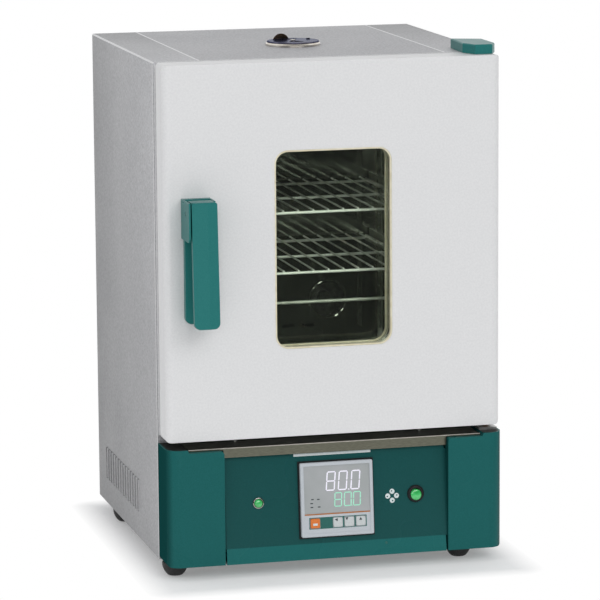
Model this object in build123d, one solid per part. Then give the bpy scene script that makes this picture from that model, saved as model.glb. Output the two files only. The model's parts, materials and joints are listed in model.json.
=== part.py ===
"""Forced-air drying oven: sheet-metal cabinet, insulated glazed door, wire shelves, rear fan.

Millimetres. While it is modelled, x = 0 is the middle of the cabinet, y = 0 is the
cabinet's front plane with +y to the back, and z = 0 is the floor. The export moves the
whole oven in y alone, so that the origin is the bottom centre of its box.
"""
from build123d import *
import math
import os

# Cabinet
cabinet_width = 412.0
cabinet_depth = 365.0
cabinet_height = 593.4
sheet = 1.2
seam_gap = 0.4
side_wrap = 56.0
bend_radius = 2.5
flange_width = 14.0
seam_flange = 7.0
tray_lip = 20.0
seat_gap = 0.2

# Feet
foot_height = 16.0
foot_top_radius = 15.5
foot_sole_radius = 9.0
foot_left_inset = 16.0
foot_right_inset = 45.0
foot_front_y = -14.0
foot_back_inset = 87.0
foot_waist_share = 0.4
foot_waist_radius = 14.2
foot_recess_radius = 4.5
foot_recess_depth = 4.0

# Plastic base pillars at the front
base_reach = 52.6
pillar_width = 68.8
pillar_height = 141.0
pillar_raised_width = 26.6
pillar_edge_radius = 17.0
pillar_bottom_radius = 5.0
pillar_shoulder_radius = 4.0
shoulder_slope = 2.0
plastic_wall = 3.0
least_round = 0.8

# Tilted control panel between the pillars
panel_side_gap = 2.2
panel_top_height = 122.5
panel_top_reach = 40.0
crease_height = 18.5
crease_reach = 49.5
panel_flange = 20.0

# Stainless sill strip above the control panel
strip_height = 139.5
strip_thickness = 2.0
strip_reach = 45.0
strip_lip = 11.5
strip_end_gap = 0.5
strip_screw_end = 21.0
strip_screw_inset = 7.4
strip_screw_radius = 3.0
strip_screw_height = 1.4
frame_gap = 2.5

# Chamber
side_bay = 72.0
floor_wool = 54.0
chamber_height = 350.0
rear_bay = 49.6
liner_sheet = 1.0
deck_height = 158.0
duct_gap = 27.0

# Fan at the back of the chamber
fan_inset = 56.0
fan_rise = 57.0
fan_radius = 36.0
fan_width = 16.0
fan_blades = 14
inlet_radius = 22.0
inlet_rim = 4.0
shaft_radius = 3.0
motor_radius = 32.0
motor_space = 15.6
motor_boss = 5.0
motor_edge = 1.5
motor_pocket_gap = 2.0
rotor_back_gap = 5.0
rotor_disc = 1.5
rotor_rim = 1.2
rotor_hub_radius = 9.0
rotor_hub_setback = 4.0
rotor_shaft_setback = 6.0
blade_thickness = 1.2
blade_turn = 35.0
heater_ring_radius = 48.0
heater_tube_radius = 3.2
heater_leg_x = 10.0
heater_leg_end = 12.0
heater_place = 0.45
running_clearance = 0.05

# Wire shelves and what carries them
shelf_rise = 138.3
shelf_pitch = 72.5
shelf_front = 22.0
shelf_back_gap = 4.4
shelf_side_gap = 6.5
shelf_corner = 8.0
shelf_back_rod_inset = 20.0
cross_rod_radius = 2.0
wire_radius = 1.5
wire_pitch = 18.4
weld_sink = 0.4
rod_sides = 8
runner_sheet = 1.2
runner_ledge = 11.0
runner_height = 12.0
runner_front_reach = 8.0
runner_back_gap = 4.0
hook_clearance = 0.5
upright_width = 20.0
upright_front_inset = 18.0
upright_back_inset = 48.4
upright_end_gap = 12.0
upright_slot_pitch = 18.125
upright_slot_width = 9.0
upright_slot_height = 4.0
tie_rod_drop = 36.0
probe_inset = 74.0
probe_drop = 60.0
probe_length = 45.0
probe_radius = 2.5
probe_collar_length = 8.0
probe_collar_radius = 5.0
duct_slot_length = 16.0
duct_slot_height = 4.0
duct_slot_pitch = 26.0
duct_slot_low = 25.0
duct_slot_high = 30.0

# Door
door_gap = 3.0
door_thickness = 38.2
door_side_inset = 1.0
door_bottom = 164.6
door_edge_radius = 9.0
door_corner_radius = 6.0
door_return = 17.0
return_corner = 4.0
window_width = 142.6
window_height = 236.0
window_rise = 57.7
window_corner_radius = 16.5
window_recess = 5.8
glass_outer = 4.0
glass_inner = 3.0
glass_overlap = 8.0
tunnel_growth = 2.1
seal_wall = 2.0
seal_recess = 0.4
inner_seal_depth = 2.5
retainer_width = 12.0
retainer_sheet = 1.2
gasket_land = 11.0
gasket_width = 8.0
gasket_clearance = 0.3
gasket_corner = 12.0
catch_inset = 12.0
catch_width = 12.0
catch_depth = 9.0
catch_proud = 1.2
catch_height = 44.0
strike_thickness = 1.5
strike_width = 14.0
strike_height = 48.0

# Hinges
hinge_inset = 14.0
hinge_setback = 18.0
hinge_pin_radius = 2.5
hinge_plate = 3.0
hinge_pin_end = 2.0
bush_radius = 4.0
bush_length = 16.0
hinge_air = 0.3
lower_plate_reach = 14.0
lower_plate_inset = 1.4
lower_plate_edge = 3.0
stop_width = 5.0
stop_depth = 8.0
stop_gap = 0.7
upper_plate_left = 14.0
upper_plate_right = 5.0
upper_plate_front = 6.0
upper_plate_back = 2.0
cover_height = 11.6
cover_wall = 1.5
cover_width = 38.0
cover_taper = 3.0
cover_back_slant = 14.0
cover_overhang = 0.0
cover_nose_left = 15.0
cover_nose_right = 6.0
cover_front = 30.5
cover_bend_left = -8.0
cover_bend_right = -14.0
cover_back = 51.0
cover_corner = 4.0
cover_edge = 1.2

# Door handle
handle_inset = 22.5
handle_width = 34.5
handle_bottom = 307.0
handle_length = 147.0
handle_reach = 84.0
handle_lean = 10.0
handle_plate = 9.0
handle_plate_inset = 2.5
handle_corner = 7.0
handle_top_corner = 3.0
cheek_wall = 2.0
cheek_height = 46.5
cheek_gap = 1.7
cheek_setback = 5.2
head_height = 33.0
head_side_gap = 1.0
head_back_gap = 4.6
paddle_thickness = 8.0
paddle_crease_share = 0.6
paddle_left_fall = 1.6
paddle_right_fall = 3.6
pivot_drop = 14.0
pivot_setback = 18.0
pivot_pin_radius = 2.5
pin_end_gap = 0.6

# Controller and lights on the tilted panel
controller_x = 0.0
controller_z = 87.2
controller_flange_size = 92.6
controller_flange = 1.5
controller_case_size = 88.0
controller_case_depth = 60.0
bezel_size = 89.0
bezel_corner = 2.0
bezel_edge = 0.8
bezel_rim = 4.0
bezel_recess = 0.8
recess_corner = 1.0
controller_proud = 6.5
display_height = 57.0
display_depth = 1.6
display_sink = 0.2
key_size = 11.4
key_corner = 1.5
key_edge = 0.4
key_proud = 1.0
key_travel = 0.8
key_floor = 0.7
key_row = -28.1
key_pitch = 14.1
key_first_x = 0.1
set_key_x = -27.7
key_gap = 0.3
lamp_inset = 40.0
lamp_z = 86.4
lamp_bezel_radius = 7.0
lamp_bezel_proud = 1.6
lamp_bezel_edge = 0.6
lamp_barrel_length = 24.0
lamp_bore_depth = 2.0
lamp_lens_radius = 5.0
lamp_lens_height = 4.2
lamp_lens_edge = 1.4
lamp_barrel_radius = 5.6
switch_inset = 36.6
switch_z = 85.6
switch_bezel_radius = 10.35
switch_bezel_proud = 3.0
switch_bezel_edge = 1.0
switch_barrel_radius = 8.0
switch_barrel_length = 28.0
switch_bore_depth = 12.0
button_radius = 6.5
button_clearance = 0.1
button_travel = 2.0
button_floor_gap = 0.3
button_proud = 1.6
button_edge = 1.1
lens_clearance = 0.05

# Vent on the top
vent_y = 147.5
vent_radius = 33.3
vent_tube_radius = 25.0
vent_flange_height = 3.5
vent_flange_edge = 1.5
vent_skin = 0.6
vent_disc_thickness = 1.6
vent_disc_inset = 1.6
vent_disc_edge = 0.5
vent_spoke_angle = 28.0
vent_hub_radius = 7.0
vent_rim_width = 3.0
vent_tab_radius = 12.0
vent_tab_height = 7.8
vent_tab_sheet = 1.0
vent_tab_place = 21.0
vent_tab_bearing = 122.0
vent_tab_angle = 106.0
vent_stop_place = 25.0
vent_stop_angle = 28.0
vent_stop_radius = 2.2
vent_stop_height = 1.2
vent_pin_radius = 2.0
vent_pin_head_radius = 3.2
vent_pin_head = 0.5

# Louvres low on both sides
louvre_count = 14
louvre_pitch = 14.8
louvre_back_inset = 250.0
louvre_bottom = 49.0
louvre_height = 40.0
louvre_width = 6.0
louvre_rise = 1.6
louvre_wall = 0.6

# Mains inlet and screws
inlet_inset = 56.0
inlet_z = 70.0
inlet_width = 28.0
inlet_height = 20.0
inlet_depth = 26.0
inlet_flange = 3.0
inlet_flange_side = 11.0
inlet_flange_rise = 2.5
inlet_wall = 2.0
inlet_mouth_corner = 3.0
inlet_mouth_depth = 18.0
contact_spread = 7.0
contact_offset = 2.0
contact_width = 2.0
contact_height = 4.0
contact_setback = 4.0
screw_head_radius = 3.5
screw_head_height = 1.8
screw_sides = 12
screw_end = 60.0
screw_middle = 90.0
screw_top_spread = 80.0

# Electrical pieces on the floor sheet
relay_left = -60.0
relay_length = 58.0
relay_depth = 45.0
relay_height = 26.0
relay_back_gap = 67.2
relay_stud_inset = 6.0
relay_stud_radius = 4.0
relay_stud_proud = 4.0
terminal_left = 40.0
terminal_length = 70.0
terminal_depth = 22.0
terminal_height = 10.0
terminal_back_gap = 70.2
terminal_count = 6
terminal_pitch = 11.6
terminal_block_length = 9.2
terminal_block_depth = 14.0
terminal_block_height = 7.0

# Places that follow from the sizes above
half_width = cabinet_width / 2
bottom = foot_height
top = bottom + cabinet_height
pillar_inner = half_width - pillar_width
pillar_step = half_width - pillar_raised_width
panel_half = pillar_inner - panel_side_gap
strip_top = bottom + strip_height
strip_half = pillar_step - strip_end_gap
panel_top = bottom + panel_top_height
crease_z = bottom + crease_height
panel_slope = (crease_reach - panel_top_reach) / (panel_top - crease_z)
panel_tilt = math.atan(panel_slope)
inside_half = half_width - sheet - seam_gap
inside_back = cabinet_depth - 2 * sheet - 2 * seat_gap
flange_inner = half_width - flange_width
wrap_edge = half_width - side_wrap
chamber_width = cabinet_width - 2 * side_bay
chamber_half = chamber_width / 2
chamber_floor = deck_height + floor_wool
chamber_top = chamber_floor + chamber_height
chamber_front = sheet + seat_gap
chamber_back = cabinet_depth - rear_bay
duct_face = chamber_back - duct_gap
motor_length = rear_bay - motor_space
fan_x = chamber_half - fan_inset
fan_z = chamber_floor + fan_rise
probe_x = probe_inset - chamber_half
louvre_first_y = cabinet_depth - louvre_back_inset
door_half = half_width - door_side_inset
door_top = top
door_back = -door_gap
door_front = door_back - door_thickness
hinge_x = half_width - hinge_inset
hinge_y = door_back - hinge_setback
cover_inner_x = half_width - cover_width
gasket_reach = chamber_half + gasket_land
foot_left_x = -half_width + foot_left_inset
foot_right_x = half_width - foot_right_inset
foot_back_y = cabinet_depth - foot_back_inset
inlet_x = half_width - inlet_inset
lamp_x = -panel_half + lamp_inset
switch_x = panel_half - switch_inset
strip_screw_x = panel_half - strip_screw_end
window_bottom = chamber_floor + window_rise
window_top = window_bottom + window_height
window_mid = (window_bottom + window_top) / 2
glass_face = door_front + window_recess
glass_back = glass_face + glass_outer
inner_glass_back = door_back - seat_gap
inner_glass_face = inner_glass_back - glass_inner
upright_x = chamber_half - liner_sheet
upright_front_y = shelf_front + upright_front_inset
upright_back_y = duct_face - upright_back_inset
runner_x = upright_x - runner_sheet
shelf_half_width = chamber_half - shelf_side_gap
wire_count = int(2 * (shelf_half_width - 2 * cross_rod_radius) / wire_pitch) + 1
shelf_level_lower = chamber_floor + shelf_rise
shelf_level_upper = shelf_level_lower + shelf_pitch
heater_leg_z = math.sqrt(heater_ring_radius ** 2 - heater_leg_x ** 2)
handle_left = -half_width + handle_inset
handle_right = handle_left + handle_width
handle_top = handle_bottom + handle_length
handle_seat = door_front - handle_plate
handle_face = -handle_reach
handle_tilt = math.degrees(math.asin(handle_lean / handle_length))
paddle_back = handle_face + paddle_thickness
cheek_bottom = handle_top - cheek_height
head_bottom = handle_top - head_height
pivot_height = handle_top - pivot_drop
pivot_reach = handle_reach - pivot_setback
bezel_seat = seat_gap + controller_flange + seat_gap
bezel_top = seat_gap + controller_proud
face_level = bezel_top - bezel_recess
key_seat = bezel_seat + key_floor


def block(x0, x1, y0, y1, z0, z1):
    """Box between two corners."""
    return Pos((x0 + x1) / 2, (y0 + y1) / 2, (z0 + z1) / 2) * Box(x1 - x0, y1 - y0, z1 - z0)


def upright_rod(x, y, z0, z1, radius):
    """Round bar along z."""
    return Pos(x, y, (z0 + z1) / 2) * Cylinder(radius, z1 - z0)


def cross_rod(x0, x1, y, z, radius):
    """Round bar along x."""
    return Pos((x0 + x1) / 2, y, z) * Rot(0, 90, 0) * Cylinder(radius, x1 - x0)


def deep_rod(x, y0, y1, z, radius):
    """Round bar along y."""
    return Pos(x, (y0 + y1) / 2, z) * Rot(90, 0, 0) * Cylinder(radius, y1 - y0)


def cross_bar(x0, x1, y, z, radius):
    """Bar along x with flat sides, for thin wire that repeats."""
    return Pos(x0, y, z) * extrude(Plane.YZ * RegularPolygon(radius, rod_sides), x1 - x0)


def deep_bar(x, y0, y1, z, radius):
    """Bar along y with flat sides, for thin wire that repeats."""
    return Pos(x, y1, z) * extrude(Plane.XZ * RegularPolygon(radius, rod_sides), y1 - y0)


def front_sketch(width, height, radius, x=0.0, z=0.0):
    """Rounded rectangle seen from the front, centred on x and z."""
    outline = RectangleRounded(width, height, radius) if radius > 0 else Rectangle(width, height)
    return Plane.XZ * Pos(x, z) * outline


def front_slab(sketch, y0, y1):
    """Front-view sketch made solid from y0 back to y1."""
    return Pos(0, y1, 0) * extrude(sketch, y1 - y0)


def ring_slab(outer, inner, y0, y1):
    return front_slab(outer, y0, y1) - front_slab(inner, y0 - 1, y1 + 1)


def window_sketch(growth):
    """The window's outline, moved outward by growth."""
    return front_sketch(
        window_width + 2 * growth,
        window_height + 2 * growth,
        window_corner_radius + growth,
        0,
        window_mid,
    )


def panel_place(x, z, lift=0.0):
    """Frame on the tilted panel: local x to the right, y up the panel, z out of it."""
    y = -crease_reach + (z - crease_z) * panel_slope
    normal = (0, -math.cos(panel_tilt), math.sin(panel_tilt))
    place = Plane(origin=(x, y, z), x_dir=(1, 0, 0), z_dir=normal)
    return place.location * Pos(0, 0, lift)


def side_shell():
    """Left side sheet, bent over the top, with flanges at the front and the back."""
    height = top - bottom
    outline = Pos(-half_width + side_wrap / 2, (top + bottom) / 2) * Rectangle(side_wrap, height)
    corner = outline.vertices().sort_by(Axis.X)[:2].sort_by(Axis.Y)[-1]
    outline = fillet(corner, bend_radius)
    hollow_mid_x = -half_width + sheet + side_wrap / 2
    hollow_mid_z = (top + bottom) / 2 - sheet
    hollow = Pos(hollow_mid_x, hollow_mid_z) * Rectangle(side_wrap, height)
    corner = hollow.vertices().sort_by(Axis.X)[:2].sort_by(Axis.Y)[-1]
    hollow = fillet(corner, bend_radius - sheet)
    window_x = -half_width + flange_width + side_wrap / 2
    window_z = (top + bottom) / 2 - flange_width
    window = Pos(window_x, window_z) * Rectangle(side_wrap, height)
    length = cabinet_depth - sheet - seat_gap
    wall = front_slab(Plane.XZ * (outline - hollow), 0, length)
    flange = Plane.XZ * (outline - window)
    shell = wall + front_slab(flange, 0, sheet) + front_slab(flange, length - sheet, length)
    hoods = Part()
    throats = Part()
    crown = -half_width - louvre_rise
    inner = -half_width + 2 * sheet
    for index in range(louvre_count):
        y = louvre_first_y + index * louvre_pitch
        mouth_y = y - louvre_wall / 6
        hood = Polyline((-half_width, y), (crown, y), (-half_width, y + louvre_width), close=True)
        throat = Polyline((inner, mouth_y), (crown + louvre_wall, mouth_y),
                          (crown + louvre_wall, y + louvre_wall),
                          (inner, y + louvre_width - 2 * louvre_wall), close=True)
        hoods += Pos(0, 0, louvre_bottom) * extrude(make_face(hood), louvre_height)
        throats += Pos(0, 0, louvre_bottom + louvre_wall) * extrude(
            make_face(throat), louvre_height - 2 * louvre_wall)
    return shell + hoods - throats


def top_panel():
    """Middle sheet of the top between the two side shells, with a hole for the vent."""
    half = wrap_edge - seam_gap
    length = cabinet_depth - sheet - seat_gap
    plate = block(-half, half, 0, length, top - sheet, top)
    plate += block(-half, half, 0, sheet, top - flange_width, top)
    plate += block(-half, half, length - sheet, length, top - flange_width, top)
    for side in (-1, 1):
        edge = side * half
        inner = edge - side * sheet
        plate += block(min(edge, inner), max(edge, inner), 0, length, top - seam_flange, top)
    return plate - upright_rod(0, vent_y, top - 2 * sheet, top + 1, vent_tube_radius + seat_gap)


def back_panel():
    """Rear sheet over the flanges, with the mains inlet's opening."""
    mid = (top + bottom) / 2
    plate = front_slab(
        front_sketch(cabinet_width - 2 * seam_gap, cabinet_height - 2 * seam_gap, bend_radius, 0, mid),
        cabinet_depth - sheet, cabinet_depth)
    return plate - block(inlet_x - inlet_width / 2 - seat_gap, inlet_x + inlet_width / 2 + seat_gap,
                         cabinet_depth - 2 * sheet, cabinet_depth + 1,
                         inlet_z - inlet_height / 2 - seat_gap, inlet_z + inlet_height / 2 + seat_gap)


def back_panel_screws():
    """Screws round the edge of the back panel."""
    screws = []
    edge_x = half_width - flange_width / 2
    mid = (top + bottom) / 2
    for z in (bottom + screw_end, mid - screw_middle, mid + screw_middle, top - screw_end):
        screws += [dome_screw(-edge_x, z), dome_screw(edge_x, z)]
    for x in (-screw_top_spread, screw_top_spread):
        screws.append(dome_screw(x, top - flange_width / 2))
    return screws


def dome_screw(x, z):
    """Raised screw head on the back panel."""
    head = extrude(RegularPolygon(screw_head_radius, screw_sides), screw_head_height)
    head = chamfer(head.edges().group_by(Axis.Z)[-1], screw_head_height / 2)
    return Pos(x, cabinet_depth, z) * Rot(-90, 0, 0) * head


def base_plate():
    """Floor sheet of the cabinet, turned up at the front and the back."""
    tray = block(-inside_half, inside_half, chamber_front, inside_back, bottom, bottom + sheet)
    for y in (chamber_front, inside_back - sheet):
        tray += block(-inside_half, inside_half, y, y + sheet, bottom, bottom + tray_lip)
    return tray


def front_frame():
    """Painted face round the chamber's mouth, between the flanges of the shells."""
    low = strip_top + frame_gap
    high = top - flange_width - seam_gap
    half = flange_inner - seam_gap
    outer = front_sketch(2 * half, high - low, 0, 0, (high + low) / 2)
    mouth = front_sketch(chamber_width, chamber_height, liner_sheet, 0, (chamber_floor + chamber_top) / 2)
    return ring_slab(outer, mouth, 0, sheet)


def chamber_liner():
    """Stainless box, open at the front, with ports for the fan shaft, heater and vent."""
    box = block(-chamber_half - liner_sheet, chamber_half + liner_sheet, chamber_front,
                chamber_back + liner_sheet, chamber_floor - liner_sheet, chamber_top + liner_sheet)
    box -= block(-chamber_half, chamber_half, chamber_front - 1, chamber_back, chamber_floor, chamber_top)
    box -= deep_rod(fan_x, chamber_back - 1, chamber_back + 5, fan_z, 2 * shaft_radius)
    box -= upright_rod(0, vent_y, chamber_top - 1, chamber_top + 5, vent_tube_radius + seat_gap)
    for x in (-1, 1):
        box -= deep_rod(fan_x + x * heater_leg_x, chamber_back - 1, chamber_back + 5, fan_z + heater_leg_z,
                        heater_tube_radius + seat_gap)
    return box


def insulation_wrap():
    """Mineral wool round the chamber, from the deck to the top sheet."""
    half = inside_half - bend_radius
    low = deck_height + sheet + seat_gap
    high = top - seam_flange - seat_gap
    outer = front_sketch(2 * half, high - low, 0, 0, (high + low) / 2)
    grow = liner_sheet + seat_gap
    inner = front_sketch(chamber_width + 2 * grow, chamber_height + 2 * grow, 0, 0,
                         (chamber_floor + chamber_top) / 2)
    wrap = ring_slab(outer, inner, 2 * sheet + seat_gap, chamber_back)
    return wrap - upright_rod(0, vent_y, chamber_top, top, vent_tube_radius + seat_gap)


def insulation_back():
    """Mineral wool behind the chamber, with a pocket for the motor."""
    half = inside_half - bend_radius
    low = deck_height + sheet + seat_gap
    high = top - seam_flange - seat_gap
    slab = block(-half, half, chamber_back + liner_sheet + seat_gap, inside_back - sheet - seat_gap,
                 low, high)
    slab -= deep_rod(fan_x, chamber_back, cabinet_depth, fan_z, motor_radius + motor_pocket_gap)
    for side in (-1, 1):
        slab -= deep_rod(fan_x + side * heater_leg_x, chamber_back, cabinet_depth, fan_z + heater_leg_z,
                         heater_tube_radius + motor_pocket_gap)
    return slab


def deck_plate():
    """Shelf between the chamber and the wiring bay below it."""
    return block(-inside_half, inside_half, sheet + seat_gap, inside_back - sheet - seat_gap,
                 deck_height, deck_height + sheet)


def duct_cover():
    """Stainless baffle in front of the fan, with the inlet hole and rows of slots."""
    half = chamber_half - seat_gap
    low = chamber_floor + seat_gap
    high = chamber_top - seat_gap
    cover = block(-half, half, duct_face, duct_face + liner_sheet, low, high)
    for side in (-1, 1):
        edge = side * half
        inner = edge - side * liner_sheet
        cover += block(min(edge, inner), max(edge, inner), duct_face, chamber_back - seat_gap, low, high)
    cover -= deep_rod(fan_x, duct_face - 1, duct_face + 3, fan_z, inlet_radius)
    count = int(2 * half / duct_slot_pitch) - 1
    rows = ((chamber_floor + duct_slot_low, count - 2, -duct_slot_pitch),
            (chamber_top - duct_slot_high, count, 0))
    for row_z, slots, shift in rows:
        for index in range(slots):
            x = (index - (slots - 1) / 2) * duct_slot_pitch + shift
            slot = front_sketch(duct_slot_length, duct_slot_height, 0, x, row_z)
            cover -= front_slab(slot, duct_face - 1, duct_face + 2)
    return cover


def inlet_ring():
    """Rolled ring that rims the fan's inlet on the duct cover."""
    radius = inlet_rim / 2
    profile = RegularPolygon(radius, rod_sides) & Pos(0, radius) * Rectangle(4 * radius, 2 * radius)
    ring = revolve(Plane.XZ * Pos(inlet_radius + radius, 0) * profile, Axis.Z)
    return Pos(fan_x, duct_face - seat_gap, fan_z) * Rot(90, 0, 0) * ring


def heater_ring():
    """Sheathed heating element bent in a ring round the impeller, with two legs to the back."""
    y = duct_face + duct_gap * heater_place
    gap_angle = 2 * math.degrees(math.asin(heater_leg_x / heater_ring_radius))
    profile = Plane.YZ * Pos(heater_ring_radius, 0) * RegularPolygon(heater_tube_radius, rod_sides)
    ring = revolve(profile, Axis.Z, 360 - gap_angle)
    ring = Pos(fan_x, y, fan_z) * Rot(90, 0, 0) * Rot(0, 0, gap_angle / 2) * ring
    legs = Part()
    for side in (-1, 1):
        x = fan_x + side * heater_leg_x
        legs += deep_bar(x, y - heater_tube_radius, inside_back - heater_leg_end, fan_z + heater_leg_z,
                         heater_tube_radius)
    return ring + legs


def fan_motor():
    """Motor behind the chamber wall, with a bored bearing boss."""
    y0 = chamber_back + liner_sheet + seat_gap
    motor = deep_rod(fan_x, y0, y0 + motor_length, fan_z, motor_radius)
    motor += deep_rod(fan_x, y0 + motor_length, y0 + motor_length + motor_boss, fan_z, motor_radius / 2)
    motor = chamfer(motor.edges().filter_by(GeomType.CIRCLE).group_by(Axis.Y)[-1], motor_edge)
    return motor - deep_rod(fan_x, y0 - 1, y0 + motor_length, fan_z, shaft_radius + running_clearance)


def fan_rotor():
    """Centrifugal impeller and its shaft."""
    back_y = chamber_back - rotor_back_gap
    front_y = back_y - fan_width
    rotor = deep_rod(fan_x, back_y - rotor_disc, back_y, fan_z, fan_radius)
    rotor += deep_rod(fan_x, front_y + rotor_hub_setback, back_y, fan_z, rotor_hub_radius)
    rotor += deep_rod(fan_x, front_y + rotor_shaft_setback, chamber_back + motor_length - motor_boss, fan_z,
                      shaft_radius)
    outer = fan_radius - rotor_disc / 3
    middle = (inlet_radius + outer) / 2
    blade = block(inlet_radius + rotor_rim / 4, outer, front_y, back_y - rotor_disc / 2, -blade_thickness / 2,
                  blade_thickness / 2)
    set_blade = Pos(middle, 0, 0) * Rot(0, blade_turn, 0) * Pos(-middle, 0, 0) * blade
    for index in range(fan_blades):
        rotor += Pos(fan_x, 0, fan_z) * Rot(0, index * 360 / fan_blades, 0) * set_blade
    rim = deep_rod(fan_x, front_y, front_y + rotor_rim, fan_z, fan_radius)
    return rotor + rim - deep_rod(fan_x, front_y - 1, front_y + rotor_rim + 1, fan_z, inlet_radius)


def temperature_probe():
    """Sensor that reaches into the chamber through the duct cover."""
    z = chamber_top - probe_drop
    end = duct_face - seat_gap
    stem = deep_rod(probe_x, end - probe_length, end, z, probe_radius)
    return stem + deep_rod(probe_x, end - probe_collar_length, end, z, probe_collar_radius)


def upright(side, y):
    """Pierced strip on the chamber wall that the shelf runners hook into."""
    low = chamber_floor + upright_end_gap
    high = chamber_top - upright_end_gap
    x0 = side * upright_x
    x1 = side * chamber_half
    strip = block(min(x0, x1), max(x0, x1), y - upright_width / 2, y + upright_width / 2, low, high)
    level = shelf_level_lower - cross_rod_radius - runner_sheet / 2
    steps = int((high - low) / upright_slot_pitch)
    base = level - math.floor((level - low) / upright_slot_pitch) * upright_slot_pitch
    for index in range(steps):
        z = base + index * upright_slot_pitch
        if low + upright_slot_height < z < high - upright_slot_height:
            half = upright_slot_width / 2
            rise = upright_slot_height / 2
            strip -= block(min(x0, x1) - 1, max(x0, x1) + 1, y - half, y + half, z - rise, z + rise)
    return strip


def runner(side, level):
    """L-shaped rail under one side of a shelf, hung on the two uprights."""
    floor = level - cross_rod_radius - hinge_air
    y0 = shelf_front - runner_front_reach
    y1 = duct_face - runner_back_gap
    x_in = side * (runner_x - runner_ledge + runner_sheet)
    x_wall = side * upright_x
    x_leg = side * (upright_x - runner_sheet)
    rail = block(min(x_in, x_wall), max(x_in, x_wall), y0, y1, floor - runner_sheet, floor)
    rail += block(min(x_leg, x_wall), max(x_leg, x_wall), y0, y1, floor - runner_sheet,
                  floor - runner_sheet + runner_height)
    for y in (upright_front_y, upright_back_y):
        x_hook = side * (chamber_half - seat_gap)
        half_hook = upright_slot_width / 2 - hook_clearance
        rail += block(min(x_hook, x_wall), max(x_hook, x_wall), y - half_hook, y + half_hook,
                      floor - runner_sheet, floor)
    return rail


def wire_shelf(level):
    """Welded wire shelf: a frame of thick rod with thin wires along its depth."""
    y0 = shelf_front
    y1 = duct_face - shelf_back_gap
    half = shelf_half_width
    corner = shelf_corner
    shelf = cross_bar(-half + corner, half - corner, y0, level, cross_rod_radius)
    bend = revolve(Plane.XZ * Pos(corner, 0) * RegularPolygon(cross_rod_radius, rod_sides), Axis.Z, 90)
    for side in (-1, 1):
        shelf += deep_bar(side * half, y0 + corner, y1, level, cross_rod_radius)
        turn = Rot(0, 0, 180) if side < 0 else Rot(0, 0, -90)
        shelf += Pos(side * (half - corner), y0 + corner, level) * turn * bend
    back_rod = y1 - shelf_back_rod_inset
    for y in ((y0 + back_rod) / 2, back_rod):
        shelf += cross_bar(-half, half, y, level, cross_rod_radius)
    wire_level = level + cross_rod_radius + wire_radius - weld_sink
    for index in range(wire_count):
        x = (index - (wire_count - 1) / 2) * wire_pitch
        shelf += deep_bar(x, y0 - cross_rod_radius, y1, wire_level, wire_radius)
    return shelf


def rack_tie_rod():
    """Thin bar from wall to wall that keeps the rack square."""
    half = chamber_half - seat_gap
    return cross_rod(-half, half, shelf_front, shelf_level_lower - tie_rod_drop, cross_rod_radius)


def base_pillar():
    """Moulded right-hand pillar of the base, open at the back."""

    def body(inset, y1):
        x0 = pillar_inner + inset
        x1 = half_width - inset
        z0 = bottom + inset
        z_low = strip_top - strip_thickness - hinge_air - inset
        z_high = bottom + pillar_height - inset
        step = pillar_step + inset
        shoulder = max(pillar_shoulder_radius - inset, least_round)
        foot = max(pillar_bottom_radius - inset, least_round)
        outline = make_face(Polyline((x0, z0), (x1, z0), (x1, z_high), (step + shoulder_slope, z_high),
                                     (step, z_low),
                                     (x0, z_low), close=True))
        corners = outline.vertices()
        outline = fillet([c for c in corners if c.X > x1 - 1 and c.Y < z0 + 1], foot)
        corners = outline.vertices()
        outline = fillet([c for c in corners if c.X < x0 + 1 and c.Y > z_low - 1], shoulder)
        front = -base_reach + inset
        form = front_slab(Plane.XZ * outline, front, y1)
        plan = Rectangle(x1 - x0 + 2 * pillar_edge_radius, 2 * (y1 - front))
        edge = plan.vertices().sort_by(Axis.X)[-2:].sort_by(Axis.Y)[0]
        plan = fillet(edge, pillar_edge_radius - inset)
        plan = Pos(x1 - (x1 - x0) / 2 - pillar_edge_radius, y1) * plan
        return form & Pos(0, 0, bottom - 1) * extrude(plan, pillar_height + 2)

    return body(0, -seat_gap) - body(plastic_wall, 1)


def control_panel():
    """Tilted fascia with openings for the controller, the lamp and the switch."""
    outline = make_face(Polyline((-panel_flange, panel_top), (-panel_top_reach, panel_top),
                                 (-crease_reach, crease_z), (-base_reach, bottom), (sheet, bottom),
                                 (sheet, bottom + plastic_wall),
                                 (-base_reach + plastic_wall + hinge_air, bottom + plastic_wall),
                                 (-crease_reach + plastic_wall, crease_z),
                                 (-panel_top_reach + plastic_wall, panel_top - plastic_wall),
                                 (-panel_flange, panel_top - plastic_wall), close=True))
    panel = Pos(-panel_half, 0, 0) * extrude(Plane.YZ * outline, 2 * panel_half)
    opening = controller_case_size + 2 * seat_gap
    panel -= panel_place(controller_x, controller_z) * Box(opening, opening, 2 * controller_case_depth)
    panel -= panel_place(lamp_x, lamp_z) * Cylinder(lamp_barrel_radius + seat_gap, 4 * plastic_wall)
    panel -= panel_place(switch_x, switch_z) * Cylinder(switch_barrel_radius + seat_gap, 4 * plastic_wall)
    return panel


def sill_strip():
    """Folded stainless strip that roofs the control panel."""
    strip = block(-strip_half, strip_half, -strip_reach, -seat_gap, strip_top - strip_thickness, strip_top)
    lip_half = pillar_inner - strip_end_gap
    strip += block(-lip_half, lip_half, -strip_reach, -strip_reach + strip_thickness / 2,
                   strip_top - strip_lip, strip_top)
    return strip


def strip_screws():
    screws = []
    for side in (-1, 1):
        place = Pos(side * strip_screw_x, -strip_screw_inset, strip_top + seat_gap)
        head = RegularPolygon(strip_screw_radius, screw_sides)
        screws.append(place * extrude(head, strip_screw_height))
    return screws


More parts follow.
